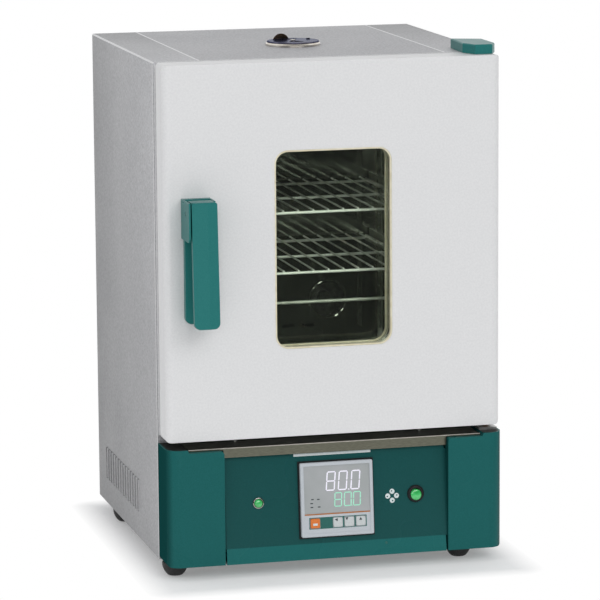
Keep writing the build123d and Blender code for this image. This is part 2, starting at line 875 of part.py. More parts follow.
def controller_case():
    """Instrument housing let into the panel, with its dark flange round the bezel."""
    height = controller_case_depth + seat_gap + controller_flange
    middle = (seat_gap + controller_flange - controller_case_depth) / 2
    size = controller_case_size
    case = panel_place(controller_x, controller_z, middle) * Box(size, size, height)
    flange = extrude(Rectangle(controller_flange_size, controller_flange_size), controller_flange)
    return case + panel_place(controller_x, controller_z, seat_gap) * flange


def key_places():
    """Name and place of each key along its row."""
    yield "set", set_key_x
    for index, name in enumerate(("shift", "down", "up")):
        yield name, key_first_x + index * key_pitch


def display_sketch(inset):
    """The display's outline in the upper part of the bezel's recess."""
    high = bezel_size / 2 - bezel_rim
    width = bezel_size - 2 * bezel_rim - 2 * inset
    outline = RectangleRounded(width, display_height - 2 * inset, recess_corner)
    return Pos(0, high - display_height / 2) * outline


def controller_bezel():
    """Front frame of the instrument: recessed face, the display's seat and the keys' pockets."""
    height = bezel_top - bezel_seat
    bezel = extrude(RectangleRounded(bezel_size, bezel_size, bezel_corner), height)
    bezel = chamfer(bezel.edges().filter_by(Plane.XY).group_by(Axis.Z)[-1], bezel_edge)
    inner = bezel_size - 2 * bezel_rim
    recess = RectangleRounded(inner, inner, recess_corner)
    bezel -= Pos(0, 0, height - bezel_recess) * extrude(recess, bezel_recess)
    display_floor = height - bezel_recess - display_depth
    bezel -= Pos(0, 0, display_floor) * extrude(display_sketch(0), display_depth)
    pocket = key_size + 2 * key_gap
    for name, x in key_places():
        bezel -= Pos(x, key_row, key_floor) * extrude(Rectangle(pocket, pocket), height)
    return panel_place(controller_x, controller_z, bezel_seat) * bezel


def controller_display():
    """Clear window over the digits."""
    place = panel_place(controller_x, controller_z, face_level - display_depth)
    return place * extrude(display_sketch(seat_gap / 2), display_depth - display_sink)


def controller_key(x):
    """Sprung key cap in its pocket."""
    floor = key_seat + key_travel + key_gap
    cap = extrude(RectangleRounded(key_size, key_size, key_corner), face_level + key_proud - floor)
    cap = chamfer(cap.edges().filter_by(Plane.XY).group_by(Axis.Z)[-1], key_edge)
    return panel_place(controller_x, controller_z, floor) * Pos(x, key_row) * cap


def run_lamp_bezel():
    """Ring and barrel of the lamp that shows the oven is running."""
    ring = extrude(Circle(lamp_bezel_radius), lamp_bezel_proud)
    ring = chamfer(ring.edges().group_by(Axis.Z)[-1], lamp_bezel_edge)
    ring += Pos(0, 0, -lamp_barrel_length) * extrude(Circle(lamp_barrel_radius), lamp_barrel_length)
    bore = lamp_bore_depth + lamp_bezel_proud
    ring -= Pos(0, 0, -lamp_bore_depth) * extrude(Circle(lamp_lens_radius), bore)
    return panel_place(lamp_x, lamp_z, seat_gap) * ring


def run_lamp_lens():
    """Lit lens, seated in the lamp's ring."""
    lens = extrude(Circle(lamp_lens_radius - lens_clearance), lamp_lens_height)
    lens = chamfer(lens.edges().group_by(Axis.Z)[-1], lamp_lens_edge)
    return panel_place(lamp_x, lamp_z, 2 * seat_gap - lamp_bore_depth) * lens


def fan_switch_bezel():
    """Ring and barrel of the fan switch, bored for its button."""
    ring = extrude(Circle(switch_bezel_radius), switch_bezel_proud)
    ring = chamfer(ring.edges().group_by(Axis.Z)[-1], switch_bezel_edge)
    ring += Pos(0, 0, -switch_barrel_length) * extrude(Circle(switch_barrel_radius), switch_barrel_length)
    bore = extrude(Circle(button_radius + button_clearance), switch_bore_depth + switch_bezel_proud)
    return panel_place(switch_x, switch_z, seat_gap) * (ring - Pos(0, 0, -switch_bore_depth) * bore)


def fan_button():
    """Lit push button that starts the fan."""
    floor = button_travel + button_floor_gap - switch_bore_depth
    button = extrude(Circle(button_radius), switch_bezel_proud + button_proud - floor)
    button = chamfer(button.edges().group_by(Axis.Z)[-1], button_edge)
    return panel_place(switch_x, switch_z, seat_gap + floor) * button


def vent_openings(radius_in, radius_out, start, height):
    """Two opposite sector-shaped holes."""
    far = 2 * radius_out
    spread = far * math.tan(math.radians(vent_spoke_angle))
    ring = Circle(radius_out) - Circle(radius_in)
    sector = ring & make_face(Polyline((0, 0), (far, -spread), (far, spread), close=True))
    return [Rot(0, 0, start + turn) * extrude(sector, height) for turn in (0, 180)]


def vent_tube():
    """Flue from the chamber's ceiling to the top sheet."""
    z0 = chamber_top - liner_sheet / 2
    z1 = top + 2 * seat_gap
    tube = upright_rod(0, vent_y, z0, z1, vent_tube_radius)
    return tube - upright_rod(0, vent_y, z0 - 1, z1 + 1, vent_tube_radius - liner_sheet)


def vent_flange():
    """Fixed pressed plate of the vent, with two openings and the pivot pin."""
    plate = extrude(Circle(vent_radius), vent_flange_height)
    plate = chamfer(plate.edges().group_by(Axis.Z)[-1], vent_flange_edge)
    hollow_height = vent_flange_height - vent_skin
    plate -= extrude(Circle(vent_tube_radius + liner_sheet), hollow_height)
    pin_top = vent_flange_height + hinge_air + vent_disc_thickness + hinge_air
    plate += Pos(0, 0, hollow_height) * extrude(Circle(vent_pin_radius), pin_top - hollow_height)
    plate += Pos(0, 0, pin_top) * extrude(Circle(vent_pin_head_radius), vent_pin_head)
    for cut in vent_openings(vent_hub_radius, vent_tube_radius - vent_rim_width, 0, vent_flange_height):
        plate -= cut
    return Pos(0, vent_y, top + seat_gap) * plate


def vent_damper():
    """Turning disc with two openings, a half-round finger tab and a small screw."""
    disc = extrude(Circle(vent_radius - vent_disc_inset), vent_disc_thickness)
    disc = chamfer(disc.edges().group_by(Axis.Z)[-1], vent_disc_edge)
    for cut in vent_openings(vent_hub_radius + 1, vent_tube_radius - vent_rim_width - 1, 90,
                             vent_disc_thickness):
        disc -= cut
    disc -= extrude(Circle(vent_pin_radius + running_clearance), vent_disc_thickness)
    cap = Pos(0, vent_tab_height - vent_tab_radius) * Circle(vent_tab_radius)
    cap &= Pos(0, vent_tab_radius) * Rectangle(2 * vent_tab_radius, 2 * vent_tab_radius)
    tab = Rot(0, 0, vent_tab_angle - 90) * extrude(Plane.XZ * cap, vent_tab_sheet)
    bearing = math.radians(vent_tab_bearing)
    foot_x = vent_tab_place * math.cos(bearing)
    foot_y = vent_tab_place * math.sin(bearing)
    disc += Pos(foot_x, foot_y, vent_disc_thickness / 2) * tab
    screw = extrude(Circle(vent_stop_radius), vent_disc_thickness + vent_stop_height)
    disc += Rot(0, 0, vent_stop_angle) * Pos(vent_stop_place, 0, 0) * screw
    return Pos(0, vent_y, top + seat_gap + vent_flange_height + hinge_air) * disc


def foot():
    """Bowl-shaped rubber foot with a screw recess in its sole."""
    crown = foot_height - seat_gap
    outline = Polyline((foot_recess_radius, 0), (foot_sole_radius, 0),
                       (foot_waist_radius, foot_waist_share * foot_height),
                       (foot_top_radius, foot_height / 2 + foot_recess_depth), (foot_top_radius, crown),
                       (0, crown), (0, foot_recess_depth), (foot_recess_radius, foot_recess_depth),
                       close=True)
    return revolve(make_face(Plane.XZ * outline), Axis.Z)


def door_form(inset):
    """The door's outer form, moved inward by inset on every side."""
    width = 2 * (door_half - inset)
    y0 = door_front + inset
    y1 = door_back - inset
    z0 = door_bottom + inset
    z1 = door_top - inset
    plan = RectangleRounded(width, y1 - y0, door_edge_radius - inset)
    column = Pos(0, (y0 + y1) / 2, z0) * extrude(plan, z1 - z0)
    face = front_sketch(width, z1 - z0, door_corner_radius - inset, 0, (z0 + z1) / 2)
    return column & front_slab(face, y0 - 1, y1 + 1)


def door_shell():
    """Painted outer skin of the door, folded round all four sides."""
    shell = door_form(0) - door_form(sheet)
    mid = (door_bottom + door_top) / 2
    rear_height = door_top - door_bottom - 2 * door_return
    rear = front_sketch(2 * (door_half - door_return), rear_height, return_corner, 0, mid)
    shell -= front_slab(rear, door_back - 2 * sheet, door_back + 1)
    shell -= front_slab(window_sketch(0), door_front - 1, door_front + 2 * sheet)
    lip = ring_slab(window_sketch(sheet), window_sketch(0), door_front, glass_face - seat_gap)
    shell += lip
    for z in (door_bottom, door_top):
        shell -= upright_rod(hinge_x, hinge_y, z - 2, z + 2, bush_radius + seat_gap / 2)
    return shell


def door_liner():
    """Stainless inner sheet of the door."""
    mid = (door_bottom + door_top) / 2
    grow = door_return + seam_gap
    height = door_top - door_bottom - 2 * grow
    outer = front_sketch(2 * (door_half - grow), height, return_corner, 0, mid)
    liner = ring_slab(outer, window_sketch(glass_overlap - tunnel_growth + seat_gap),
                      door_back - liner_sheet, door_back)
    return liner - catch_block(seat_gap)


def catch_block(grow):
    """Magnet of the door catch, or its pocket when it grows."""
    z = (handle_bottom + handle_top) / 2
    x = -door_half + door_return + catch_inset
    half = catch_width / 2 + grow
    rise = catch_height / 2 + grow
    return block(x - half, x + half, door_back - catch_depth - grow, door_back + catch_proud + grow,
                 z - rise, z + rise)


def strike_plate():
    """Steel plate on the front frame that the magnet meets."""
    z = (handle_bottom + handle_top) / 2
    x = -door_half + door_return + catch_inset
    return block(x - strike_width / 2, x + strike_width / 2, -strike_thickness, 0,
                 z - strike_height / 2, z + strike_height / 2)


def door_insulation():
    """Mineral wool inside the door."""
    wool = door_form(sheet + hinge_air)
    wool -= block(-half_width, half_width, door_back - liner_sheet - hinge_air, 0, 0, 2 * top)
    wool -= front_slab(window_sketch(glass_overlap + 1), door_front, glass_back + seat_gap)
    wool -= front_slab(window_sketch(tunnel_growth + liner_sheet + seat_gap), door_front, 0)
    wool -= front_slab(window_sketch(glass_overlap), inner_glass_face - seat_gap, 0)
    wool -= catch_block(1)
    bore = bush_length + hinge_pin_end
    for z0, z1 in ((door_bottom, door_bottom + bore), (door_top - bore, door_top)):
        wool -= upright_rod(hinge_x, hinge_y, z0, z1, bush_radius + 1)
    return wool


def window_seal():
    """Pale silicone seal that lines the window's cut-out."""
    return ring_slab(window_sketch(-seat_gap), window_sketch(-seal_wall), door_front + seal_recess,
                     glass_face - seat_gap)


def outer_glass():
    return front_slab(window_sketch(glass_overlap), glass_face, glass_back)


def inner_glass():
    return front_slab(window_sketch(glass_overlap - tunnel_growth), inner_glass_face, inner_glass_back)


def window_tunnel():
    """Polished frame between the two panes."""
    return ring_slab(window_sketch(tunnel_growth + liner_sheet), window_sketch(tunnel_growth),
                     glass_back + seat_gap, inner_glass_face - seat_gap)


def inner_seal():
    """Pale bead inside the tunnel where the inner pane rests."""
    y1 = inner_glass_face - seat_gap
    return ring_slab(window_sketch(tunnel_growth - seat_gap), window_sketch(tunnel_growth - seal_wall),
                     y1 - inner_seal_depth, y1)


def glass_retainer():
    """Frame that holds the inner pane in the door."""
    y0 = door_back + seat_gap
    return ring_slab(window_sketch(tunnel_growth + retainer_width), window_sketch(tunnel_growth),
                     y0, y0 + retainer_sheet)


def door_gasket():
    """Silicone gasket on the door, round the chamber's mouth."""
    z_half = chamber_height / 2 + gasket_reach - chamber_half
    mid = (chamber_floor + chamber_top) / 2
    outer = front_sketch(2 * gasket_reach, 2 * z_half, gasket_corner, 0, mid)
    inner = front_sketch(2 * (gasket_reach - gasket_width), 2 * (z_half - gasket_width),
                         gasket_corner - gasket_width, 0, mid)
    return ring_slab(outer, inner, door_back + seat_gap, -gasket_clearance)


def hinge_bush(z0, z1):
    """Bronze bush in the door's edge, bored for the hinge pin."""
    bush = upright_rod(hinge_x, hinge_y, z0, z1, bush_radius)
    return bush - upright_rod(hinge_x, hinge_y, z0 - 1, z1 + 1, hinge_pin_radius + running_clearance)


def lower_bush():
    """Bush that stands proud of the door and runs on the lower hinge plate."""
    plate_top = bottom + pillar_height + hinge_air + hinge_plate
    return hinge_bush(plate_top + hinge_air, door_bottom + bush_length)


def upper_bush():
    return hinge_bush(door_top - bush_length, door_top)


def lower_hinge():
    """Lower hinge plate on the pillar, with its pin and a stop block."""
    z0 = bottom + pillar_height + hinge_air
    z1 = z0 + hinge_plate
    x0 = pillar_step + lower_plate_inset
    plate = block(x0, half_width - lower_plate_edge, hinge_y - lower_plate_reach, -sheet, z0, z1)
    plate += upright_rod(hinge_x, hinge_y, z1, door_bottom + bush_length - hinge_pin_end, hinge_pin_radius)
    plate += block(x0 + lower_plate_inset, x0 + lower_plate_inset + stop_width, hinge_y - stop_depth / 2,
                   hinge_y + stop_depth / 2, z1, door_bottom - stop_gap)
    return plate


def upper_hinge():
    """Upper hinge plate on the cabinet's top, with its pin."""
    z0 = top + hinge_air
    z1 = z0 + hinge_plate
    plate = block(hinge_x - upper_plate_left, hinge_x + upper_plate_right, hinge_y - upper_plate_front,
                  cover_back - cover_back_slant - upper_plate_back, z0, z1)
    return plate + upright_rod(hinge_x, hinge_y, door_top - bush_length + hinge_pin_end, z1, hinge_pin_radius)


def cover_outline():
    """Plan of the hinge cap: a tapered body with a nose over the hinge pin."""
    outer_x = half_width + cover_overhang
    line = Polyline((cover_inner_x + cover_taper, cover_back), (cover_inner_x, cover_bend_left),
                    (hinge_x - cover_nose_left, -cover_front), (hinge_x + cover_nose_right, -cover_front),
                    (outer_x, cover_bend_right), (outer_x, cover_back - cover_back_slant), close=True)
    face = make_face(line)
    return fillet(face.vertices().sort_by(Axis.X)[-3:], cover_corner)


def hinge_cover():
    """Moulded cap over the upper hinge."""
    height = cover_height - hinge_air
    cap = extrude(cover_outline(), height)
    cap = chamfer(cap.edges().group_by(Axis.Z)[-1], cover_edge)
    inner = offset(cover_outline(), -cover_wall, kind=Kind.INTERSECTION)
    return Pos(0, 0, top + hinge_air) * (cap - extrude(inner, height - cover_wall))


def handle_base():
    """Fixed plate and cheeks of the handle."""
    plate_left = handle_left + handle_plate_inset
    width = handle_right - plate_left
    seat = door_front - seat_gap
    outline = front_sketch(width, handle_length, handle_corner, (plate_left + handle_right) / 2,
                           (handle_top + handle_bottom) / 2)
    plate = front_slab(outline, handle_seat, seat)
    plate += block(plate_left, handle_right, handle_seat, seat, handle_top - 2 * handle_corner, handle_top)
    depth = handle_reach + door_front
    inner_depth = depth - paddle_thickness - cheek_setback
    for x0, reach in ((handle_left, depth), (handle_right - cheek_wall, inner_depth)):
        front = door_front - reach
        face = make_face(Polyline((seat, cheek_bottom), (front, cheek_bottom), (front, handle_top),
                                  (seat, handle_top), close=True))
        low_front = face.vertices().sort_by(Axis.X)[:2].sort_by(Axis.Y)[0]
        plate += Pos(x0, 0, 0) * extrude(Plane.YZ * fillet(low_front, handle_corner), cheek_wall)
    plate += block(handle_left, plate_left + cheek_wall, handle_seat, seat, cheek_bottom, handle_top)
    bore = pivot_pin_radius + running_clearance / 2
    return plate - cross_rod(handle_left - 1, handle_right + 1, -pivot_reach, pivot_height, bore)


def handle_pin():
    """Pin through both cheeks that the lever turns on."""
    return cross_rod(handle_left + pin_end_gap, handle_right - pin_end_gap, -pivot_reach, pivot_height,
                     pivot_pin_radius)


def handle_paddle(x0):
    """Long faceted blade of the lever, which leans out towards its lower end."""
    width = handle_right - x0
    middle = (x0 + handle_right) / 2
    crease = x0 + width * paddle_crease_share
    section = make_face(Polyline((x0, paddle_back), (x0, handle_face + paddle_left_fall),
                                 (crease, handle_face), (handle_right, handle_face + paddle_right_fall),
                                 (handle_right, paddle_back), close=True))
    paddle = Pos(0, 0, handle_bottom) * extrude(section, handle_length)
    face = front_sketch(width, handle_length, handle_corner, middle, (handle_top + handle_bottom) / 2)
    upper = front_sketch(width, 2 * handle_corner, handle_top_corner, middle, handle_top - handle_corner)
    paddle &= front_slab(face + upper, handle_face - 1, paddle_back + 1)
    hang = Pos(0, handle_face, handle_top)
    return hang * Rot(-handle_tilt, 0, 0) * Pos(0, -handle_face, -handle_top) * paddle


def handle_lever():
    """Pull lever: a head between the cheeks and a long paddle in front of the fingers."""
    x0 = handle_left + cheek_wall + cheek_gap
    x1 = handle_right - cheek_wall - head_side_gap
    back = handle_seat - head_back_gap
    front = handle_face + paddle_right_fall
    head = make_face(Polyline((front, head_bottom), (back, head_bottom), (back, handle_top),
                              (front, handle_top), close=True))
    head = fillet(head.vertices().sort_by(Axis.X)[-2:], min(pivot_drop, handle_corner))
    lever = Pos(x0, 0, 0) * extrude(Plane.YZ * head, x1 - x0) + handle_paddle(x0)
    bore = pivot_pin_radius + running_clearance
    return lever - cross_rod(x0 - 1, x1 + 1, -pivot_reach, pivot_height, bore)


def power_inlet():
    """Three-pin mains socket let into the back panel."""
    flange_front = cabinet_depth + seat_gap
    flange_back = flange_front + inlet_flange
    half = inlet_width / 2
    rise = inlet_height / 2
    body = block(inlet_x - half, inlet_x + half, cabinet_depth - inlet_depth, flange_back,
                 inlet_z - rise, inlet_z + rise)
    plate = front_sketch(inlet_width + 2 * inlet_flange_side, inlet_height + 2 * inlet_flange_rise,
                         inlet_mouth_corner, inlet_x, inlet_z)
    inlet = body + front_slab(plate, flange_front, flange_back)
    mouth = front_sketch(inlet_width - 2 * inlet_wall, inlet_height - 2 * inlet_wall, inlet_mouth_corner,
                         inlet_x, inlet_z)
    floor = cabinet_depth - inlet_mouth_depth
    inlet -= front_slab(mouth, floor, flange_back + 1)
    contact = Box(contact_width, inlet_mouth_depth - contact_setback, contact_height)
    for side, lift in ((-1, -contact_offset), (0, contact_offset), (1, -contact_offset)):
        y = floor + (inlet_mouth_depth - contact_setback) / 2
        inlet += Pos(inlet_x + side * contact_spread, y, inlet_z + lift) * contact
    return inlet


def power_relay():
    """Solid-state relay that switches the heater, on the base plate."""
    z0 = bottom + sheet + seat_gap
    y1 = inside_back - relay_back_gap
    y0 = y1 - relay_depth
    relay = block(relay_left, relay_left + relay_length, y0, y1, z0, z0 + relay_height)
    for y in (y0 + relay_stud_inset, y1 - relay_stud_inset):
        relay += upright_rod(relay_left + relay_length / 2, y, z0 + relay_height / 2,
                             z0 + relay_height + relay_stud_proud, relay_stud_radius)
    return relay


def terminal_block():
    """Row of wire clamps on the base plate."""
    z0 = bottom + sheet + seat_gap
    y1 = inside_back - terminal_back_gap
    strip = block(terminal_left, terminal_left + terminal_length, y1 - terminal_depth, y1, z0,
                  z0 + terminal_height)
    middle_x = terminal_left + terminal_length / 2
    clamp_z = z0 + terminal_height
    for index in range(terminal_count):
        x = middle_x + (index - (terminal_count - 1) / 2) * terminal_pitch
        strip += Pos(x, y1 - terminal_depth / 2, clamp_z) * Box(
            terminal_block_length, terminal_block_depth, 2 * terminal_block_height)
    return strip


left_shell = side_shell()
right_pillar = base_pillar()
nodes = {
    "side_shell_left": [left_shell],
    "side_shell_right": [mirror(left_shell, Plane.YZ)],
    "top_panel": [top_panel()],
    "back_panel": [back_panel()],
    "cabinet_screws": back_panel_screws() + strip_screws(),
    "base_plate": [base_plate()],
    "front_frame": [front_frame()],
    "chamber_liner": [chamber_liner()],
    "cabinet_insulation": [insulation_wrap(), insulation_back()],
    "deck_plate": [deck_plate()],
    "duct_cover": [duct_cover()],
    "inlet_ring": [inlet_ring()],
    "heater_ring": [heater_ring()],
    "fan_motor": [fan_motor()],
    "fan_rotor": [fan_rotor()],
    "temperature_probe": [temperature_probe()],
    "rack_uprights": [upright(side, y) for side in (-1, 1) for y in (upright_front_y, upright_back_y)]
                     + [rack_tie_rod()],
    "shelf_runners": [runner(side, level) for side in (-1, 1)
                      for level in (shelf_level_lower, shelf_level_upper)],
    "shelf_lower": [wire_shelf(shelf_level_lower)],
    "shelf_upper": [wire_shelf(shelf_level_upper)],
    "feet": [Pos(x, y, 0) * foot() for x in (foot_left_x, foot_right_x) for y in (foot_front_y, foot_back_y)],
    "base_pillar_right": [right_pillar],
    "base_pillar_left": [mirror(right_pillar, Plane.YZ)],
    "control_panel": [control_panel()],
    "sill_strip": [sill_strip()],
    "controller_case": [controller_case()],
    "controller_bezel": [controller_bezel()],
    "controller_display": [controller_display()],
    "run_lamp_bezel": [run_lamp_bezel()],
    "run_lamp_lens": [run_lamp_lens()],
    "fan_switch_bezel": [fan_switch_bezel()],
    "fan_button": [fan_button()],
    "vent_tube": [vent_tube()],
    "vent_flange": [vent_flange()],
    "vent_damper": [vent_damper()],
    "door_shell": [door_shell()],
    "door_liner": [door_liner()],
    "door_insulation": [door_insulation()],
    "door_catch": [catch_block(0)],
    "strike_plate": [strike_plate()],
    "window_seals": [window_seal(), inner_seal()],
    "outer_glass": [outer_glass()],
    "inner_glass": [inner_glass()],
    "window_tunnel": [window_tunnel()],
    "glass_retainer": [glass_retainer()],
    "door_gasket": [door_gasket()],
    "hinge_bushes": [lower_bush(), upper_bush()],
    "hinge_lower": [lower_hinge()],
    "hinge_upper": [upper_hinge()],
    "hinge_cover": [hinge_cover()],
    "handle_base": [handle_base()],
    "handle_pin": [handle_pin()],
    "handle_lever": [handle_lever()],
    "power_inlet": [power_inlet()],
    "power_relay": [power_relay()],
    "terminal_block": [terminal_block()],
}
for name, x in key_places():
    nodes["key_" + name] = [controller_key(x)]

back_reach = cabinet_depth + seat_gap + inlet_flange
front_reach = handle_reach + handle_lean
middle_y = (back_reach - front_reach) / 2
os.makedirs("parts", exist_ok=True)
for name, pieces in nodes.items():
    solids = [solid for piece in pieces for solid in piece.solids()]
    placed = Pos(0, -middle_y, 0) * Compound(solids)
    export_step(placed, os.path.join("parts", name + ".step"))
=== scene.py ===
"""Looks of a bench drying oven: powder-coated cabinet, glazed door, wire shelves, tilted control panel.

Metres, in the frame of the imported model: +Z up, -Y out of the door, origin on the floor under the middle.
"""
import json
import math

import bmesh
import bpy
from mathutils import Matrix, Vector


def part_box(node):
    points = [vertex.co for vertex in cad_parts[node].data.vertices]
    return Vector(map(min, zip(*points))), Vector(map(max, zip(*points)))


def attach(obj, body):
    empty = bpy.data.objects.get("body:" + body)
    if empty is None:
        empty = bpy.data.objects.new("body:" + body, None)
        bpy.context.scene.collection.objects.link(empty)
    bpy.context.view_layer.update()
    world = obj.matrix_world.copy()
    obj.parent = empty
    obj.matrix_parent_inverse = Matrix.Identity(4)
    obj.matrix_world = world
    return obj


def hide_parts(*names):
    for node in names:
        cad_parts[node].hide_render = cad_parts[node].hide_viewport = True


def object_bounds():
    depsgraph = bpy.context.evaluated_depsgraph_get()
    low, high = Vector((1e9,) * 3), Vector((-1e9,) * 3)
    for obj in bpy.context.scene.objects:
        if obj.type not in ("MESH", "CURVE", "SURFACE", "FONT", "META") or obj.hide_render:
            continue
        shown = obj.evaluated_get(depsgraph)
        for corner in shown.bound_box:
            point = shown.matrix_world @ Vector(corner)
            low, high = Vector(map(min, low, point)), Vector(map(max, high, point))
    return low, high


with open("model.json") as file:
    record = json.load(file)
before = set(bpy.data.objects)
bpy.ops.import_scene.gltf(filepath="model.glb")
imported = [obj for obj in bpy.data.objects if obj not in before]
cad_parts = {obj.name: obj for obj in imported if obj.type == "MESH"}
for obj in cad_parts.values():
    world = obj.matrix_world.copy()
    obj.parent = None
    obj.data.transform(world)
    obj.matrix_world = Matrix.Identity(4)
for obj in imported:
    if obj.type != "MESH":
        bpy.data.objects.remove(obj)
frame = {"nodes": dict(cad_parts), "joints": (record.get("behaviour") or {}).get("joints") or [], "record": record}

MM = 0.001
cad_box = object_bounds()
nodes = frame["nodes"]
joints = {joint["name"]: joint for joint in frame["joints"]}

# Camera, solved from the cabinet's straight edges in the photograph
CAMERA_PLACE = Vector((-1.0844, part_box("side_shell_left")[0].y - 4.1449, 1.0545))
CAMERA_AZIMUTH = math.radians(14.26)
CAMERA_ELEVATION = math.radians(9.74)
CAMERA_ROLL = math.radians(-0.41)
CAMERA_FOCAL_PIXELS = 3650.7
PHOTO_PIXELS = 600
SENSOR_WIDTH = 36.0
CAMERA_REACH = 30.0

# Tilted control panel, taken from the controller and the travel of its keys
PANEL_OUT = -Vector(joints["key_up_press"]["axis"]).normalized()
PANEL_RIGHT = Vector((1, 0, 0))
PANEL_UP = PANEL_OUT.cross(PANEL_RIGHT)


def middle(node):
    """Centre of a node's box."""
    low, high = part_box(node)
    return (low + high) / 2


def front_of_panel(node, proud):
    """Frame square to the sloping panel, its origin a given distance in front of a node's middle."""
    place = Matrix((PANEL_RIGHT, PANEL_UP, PANEL_OUT)).transposed().to_4x4()
    place.translation = middle(node) + proud * PANEL_OUT
    return place


# Materials: linear colours, lengths in metres, grain and patches in cells per metre


PANEL_CREASE = 34.5 * MM
VENT_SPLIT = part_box("vent_damper")[0].z + 2.5 * MM
SHEET_LOW, SHEET_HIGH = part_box("side_shell_left")
# Side sheets darker towards the back and towards the bottom: painted shade.
SHEET_SHADE_FADES = (("Y", SHEET_LOW.y, SHEET_HIGH.y, 0.60), ("Z", SHEET_HIGH.z, SHEET_LOW.z, 0.70))
# Faces that look sideways are darker by this share: painted shade.
PAINTED_SIDE_SHADE = 0.55
SHADED_SIDE_TURN = (0.6, 0.95)
GRAIN_DETAIL = 3.0
PATCH_SCALE = 9.0
NOISE_RANGE = (0.3, 0.7)
COAT_ROUGHNESS = 0.12
GLASS_INDEX = 1.45
GLASS_FILM = 14.0
GLASS_DRIFT = 1.04
GLASS_ROUGHNESS = (0.0, 0.02)


class Graph:
    """Small helper that fills one node tree."""

    def __init__(self, tree):
        self.tree = tree
        tree.nodes.clear()

    def add(self, kind, **settings):
        """New node. Each setting is a property of it, or else the value of an input."""
        node = self.tree.nodes.new(kind)
        for key, value in settings.items():
            if hasattr(node, key):
                setattr(node, key, value)
            else:
                node.inputs[key].default_value = value
        return node

    def link(self, start, end):
        self.tree.links.new(start, end)

    def math(self, operation, first, second=None):
        """Clamped sum on a socket and, where it takes two, a second socket."""
        node = self.add("ShaderNodeMath", operation=operation, use_clamp=True)
        self.link(first, node.inputs[0])
        if second:
            self.link(second, node.inputs[1])
        return node.outputs["Value"]

    def mix(self, factor, first, second):
        """Two shaders mixed by a factor."""
        node = self.add("ShaderNodeMixShader")
        for start, end in zip((factor, first, second), node.inputs):
            self.link(start, end)
        return node.outputs["Shader"]

    def span(self, value, start, end, low, high):
        """A value from start to end mapped onto low to high."""
        scale = self.add("ShaderNodeMapRange", **{"From Min": start, "From Max": end, "To Min": low,
                                                  "To Max": high})
        self.link(value, scale.inputs["Value"])
        return scale.outputs["Result"]

    def along(self, vector, axis):
        """One component of a vector."""
        parts = self.add("ShaderNodeSeparateXYZ")
        self.link(vector, parts.inputs["Vector"])
        return parts.outputs[axis]

    def seen(self):
        """1 for what is seen directly, in a mirror or through glass, 0 for plain light."""
        rays = self.add("ShaderNodeLightPath").outputs
        total = self.math("ADD", rays["Is Camera Ray"], rays["Is Transmission Ray"])
        return self.math("ADD", total, rays["Is Glossy Ray"])


class Shader(Graph):
    """One new material, with what the finishes are made of."""

    def __init__(self, name):
        self.material = bpy.data.materials.new(name)
        self.material.use_nodes = True
        super().__init__(self.material.node_tree)
        places = self.add("ShaderNodeTexCoord").outputs
        self.coords = places["Object"]
        self.facing = places["Normal"]

    def noise(self, scale, detail=2.0, stretch=(1, 1, 1)):
        mapping = self.add("ShaderNodeMapping", Scale=stretch)
        self.link(self.coords, mapping.inputs["Vector"])
        noise = self.add("ShaderNodeTexNoise", Scale=scale, Detail=detail)
        self.link(mapping.outputs["Vector"], noise.inputs["Vector"])
        return noise.outputs["Fac"]

    def blend(self, factor, first, second, contrast=0.15):
        """Two colours mixed by a noise value, round its middle."""
        ramp = self.add("ShaderNodeValToRGB")
        stops = zip(ramp.color_ramp.elements, (0.5 - contrast, 0.5 + contrast), (first, second))
        for stop, place, colour in stops:
            stop.position = place
            stop.color = (*colour, 1)
        self.link(factor, ramp.inputs["Fac"])
        return ramp.outputs["Color"]

    def spread(self, factor, low, high):
        """A noise value stretched over a range."""
        return self.span(factor, *NOISE_RANGE, low, high)

    def with_painted_shade(self, colour, value, start, end, shade):
        """Colour darkened by painted shade as a value goes from start to end."""
        tone = self.add("ShaderNodeHueSaturation")
        self.link(colour, tone.inputs["Color"])
        self.link(self.span(value, start, end, 1.0, shade), tone.inputs["Value"])
        return tone.outputs["Color"]

    def switched(self, lower, upper, height):
        """One colour below a height and another above it. The mix node's colours are inputs 6 and 7."""
        above = self.add("ShaderNodeMath", operation="GREATER_THAN")
        above.inputs[1].default_value = height
        self.link(self.along(self.coords, "Z"), above.inputs[0])
        mix = self.add("ShaderNodeMix", data_type="RGBA")
        for start, place in ((above.outputs["Value"], 0), (lower, 6), (upper, 7)):
            self.link(start, mix.inputs[place])
        return mix.outputs[2]

    def bump(self, factor, height):
        bump = self.add("ShaderNodeBump", Distance=height, Strength=1.0)
        self.link(factor, bump.inputs["Height"])
        return bump.outputs["Normal"]

    def finish(self, surface):
        self.link(surface, self.add("ShaderNodeOutputMaterial").inputs["Surface"])
        return self.material


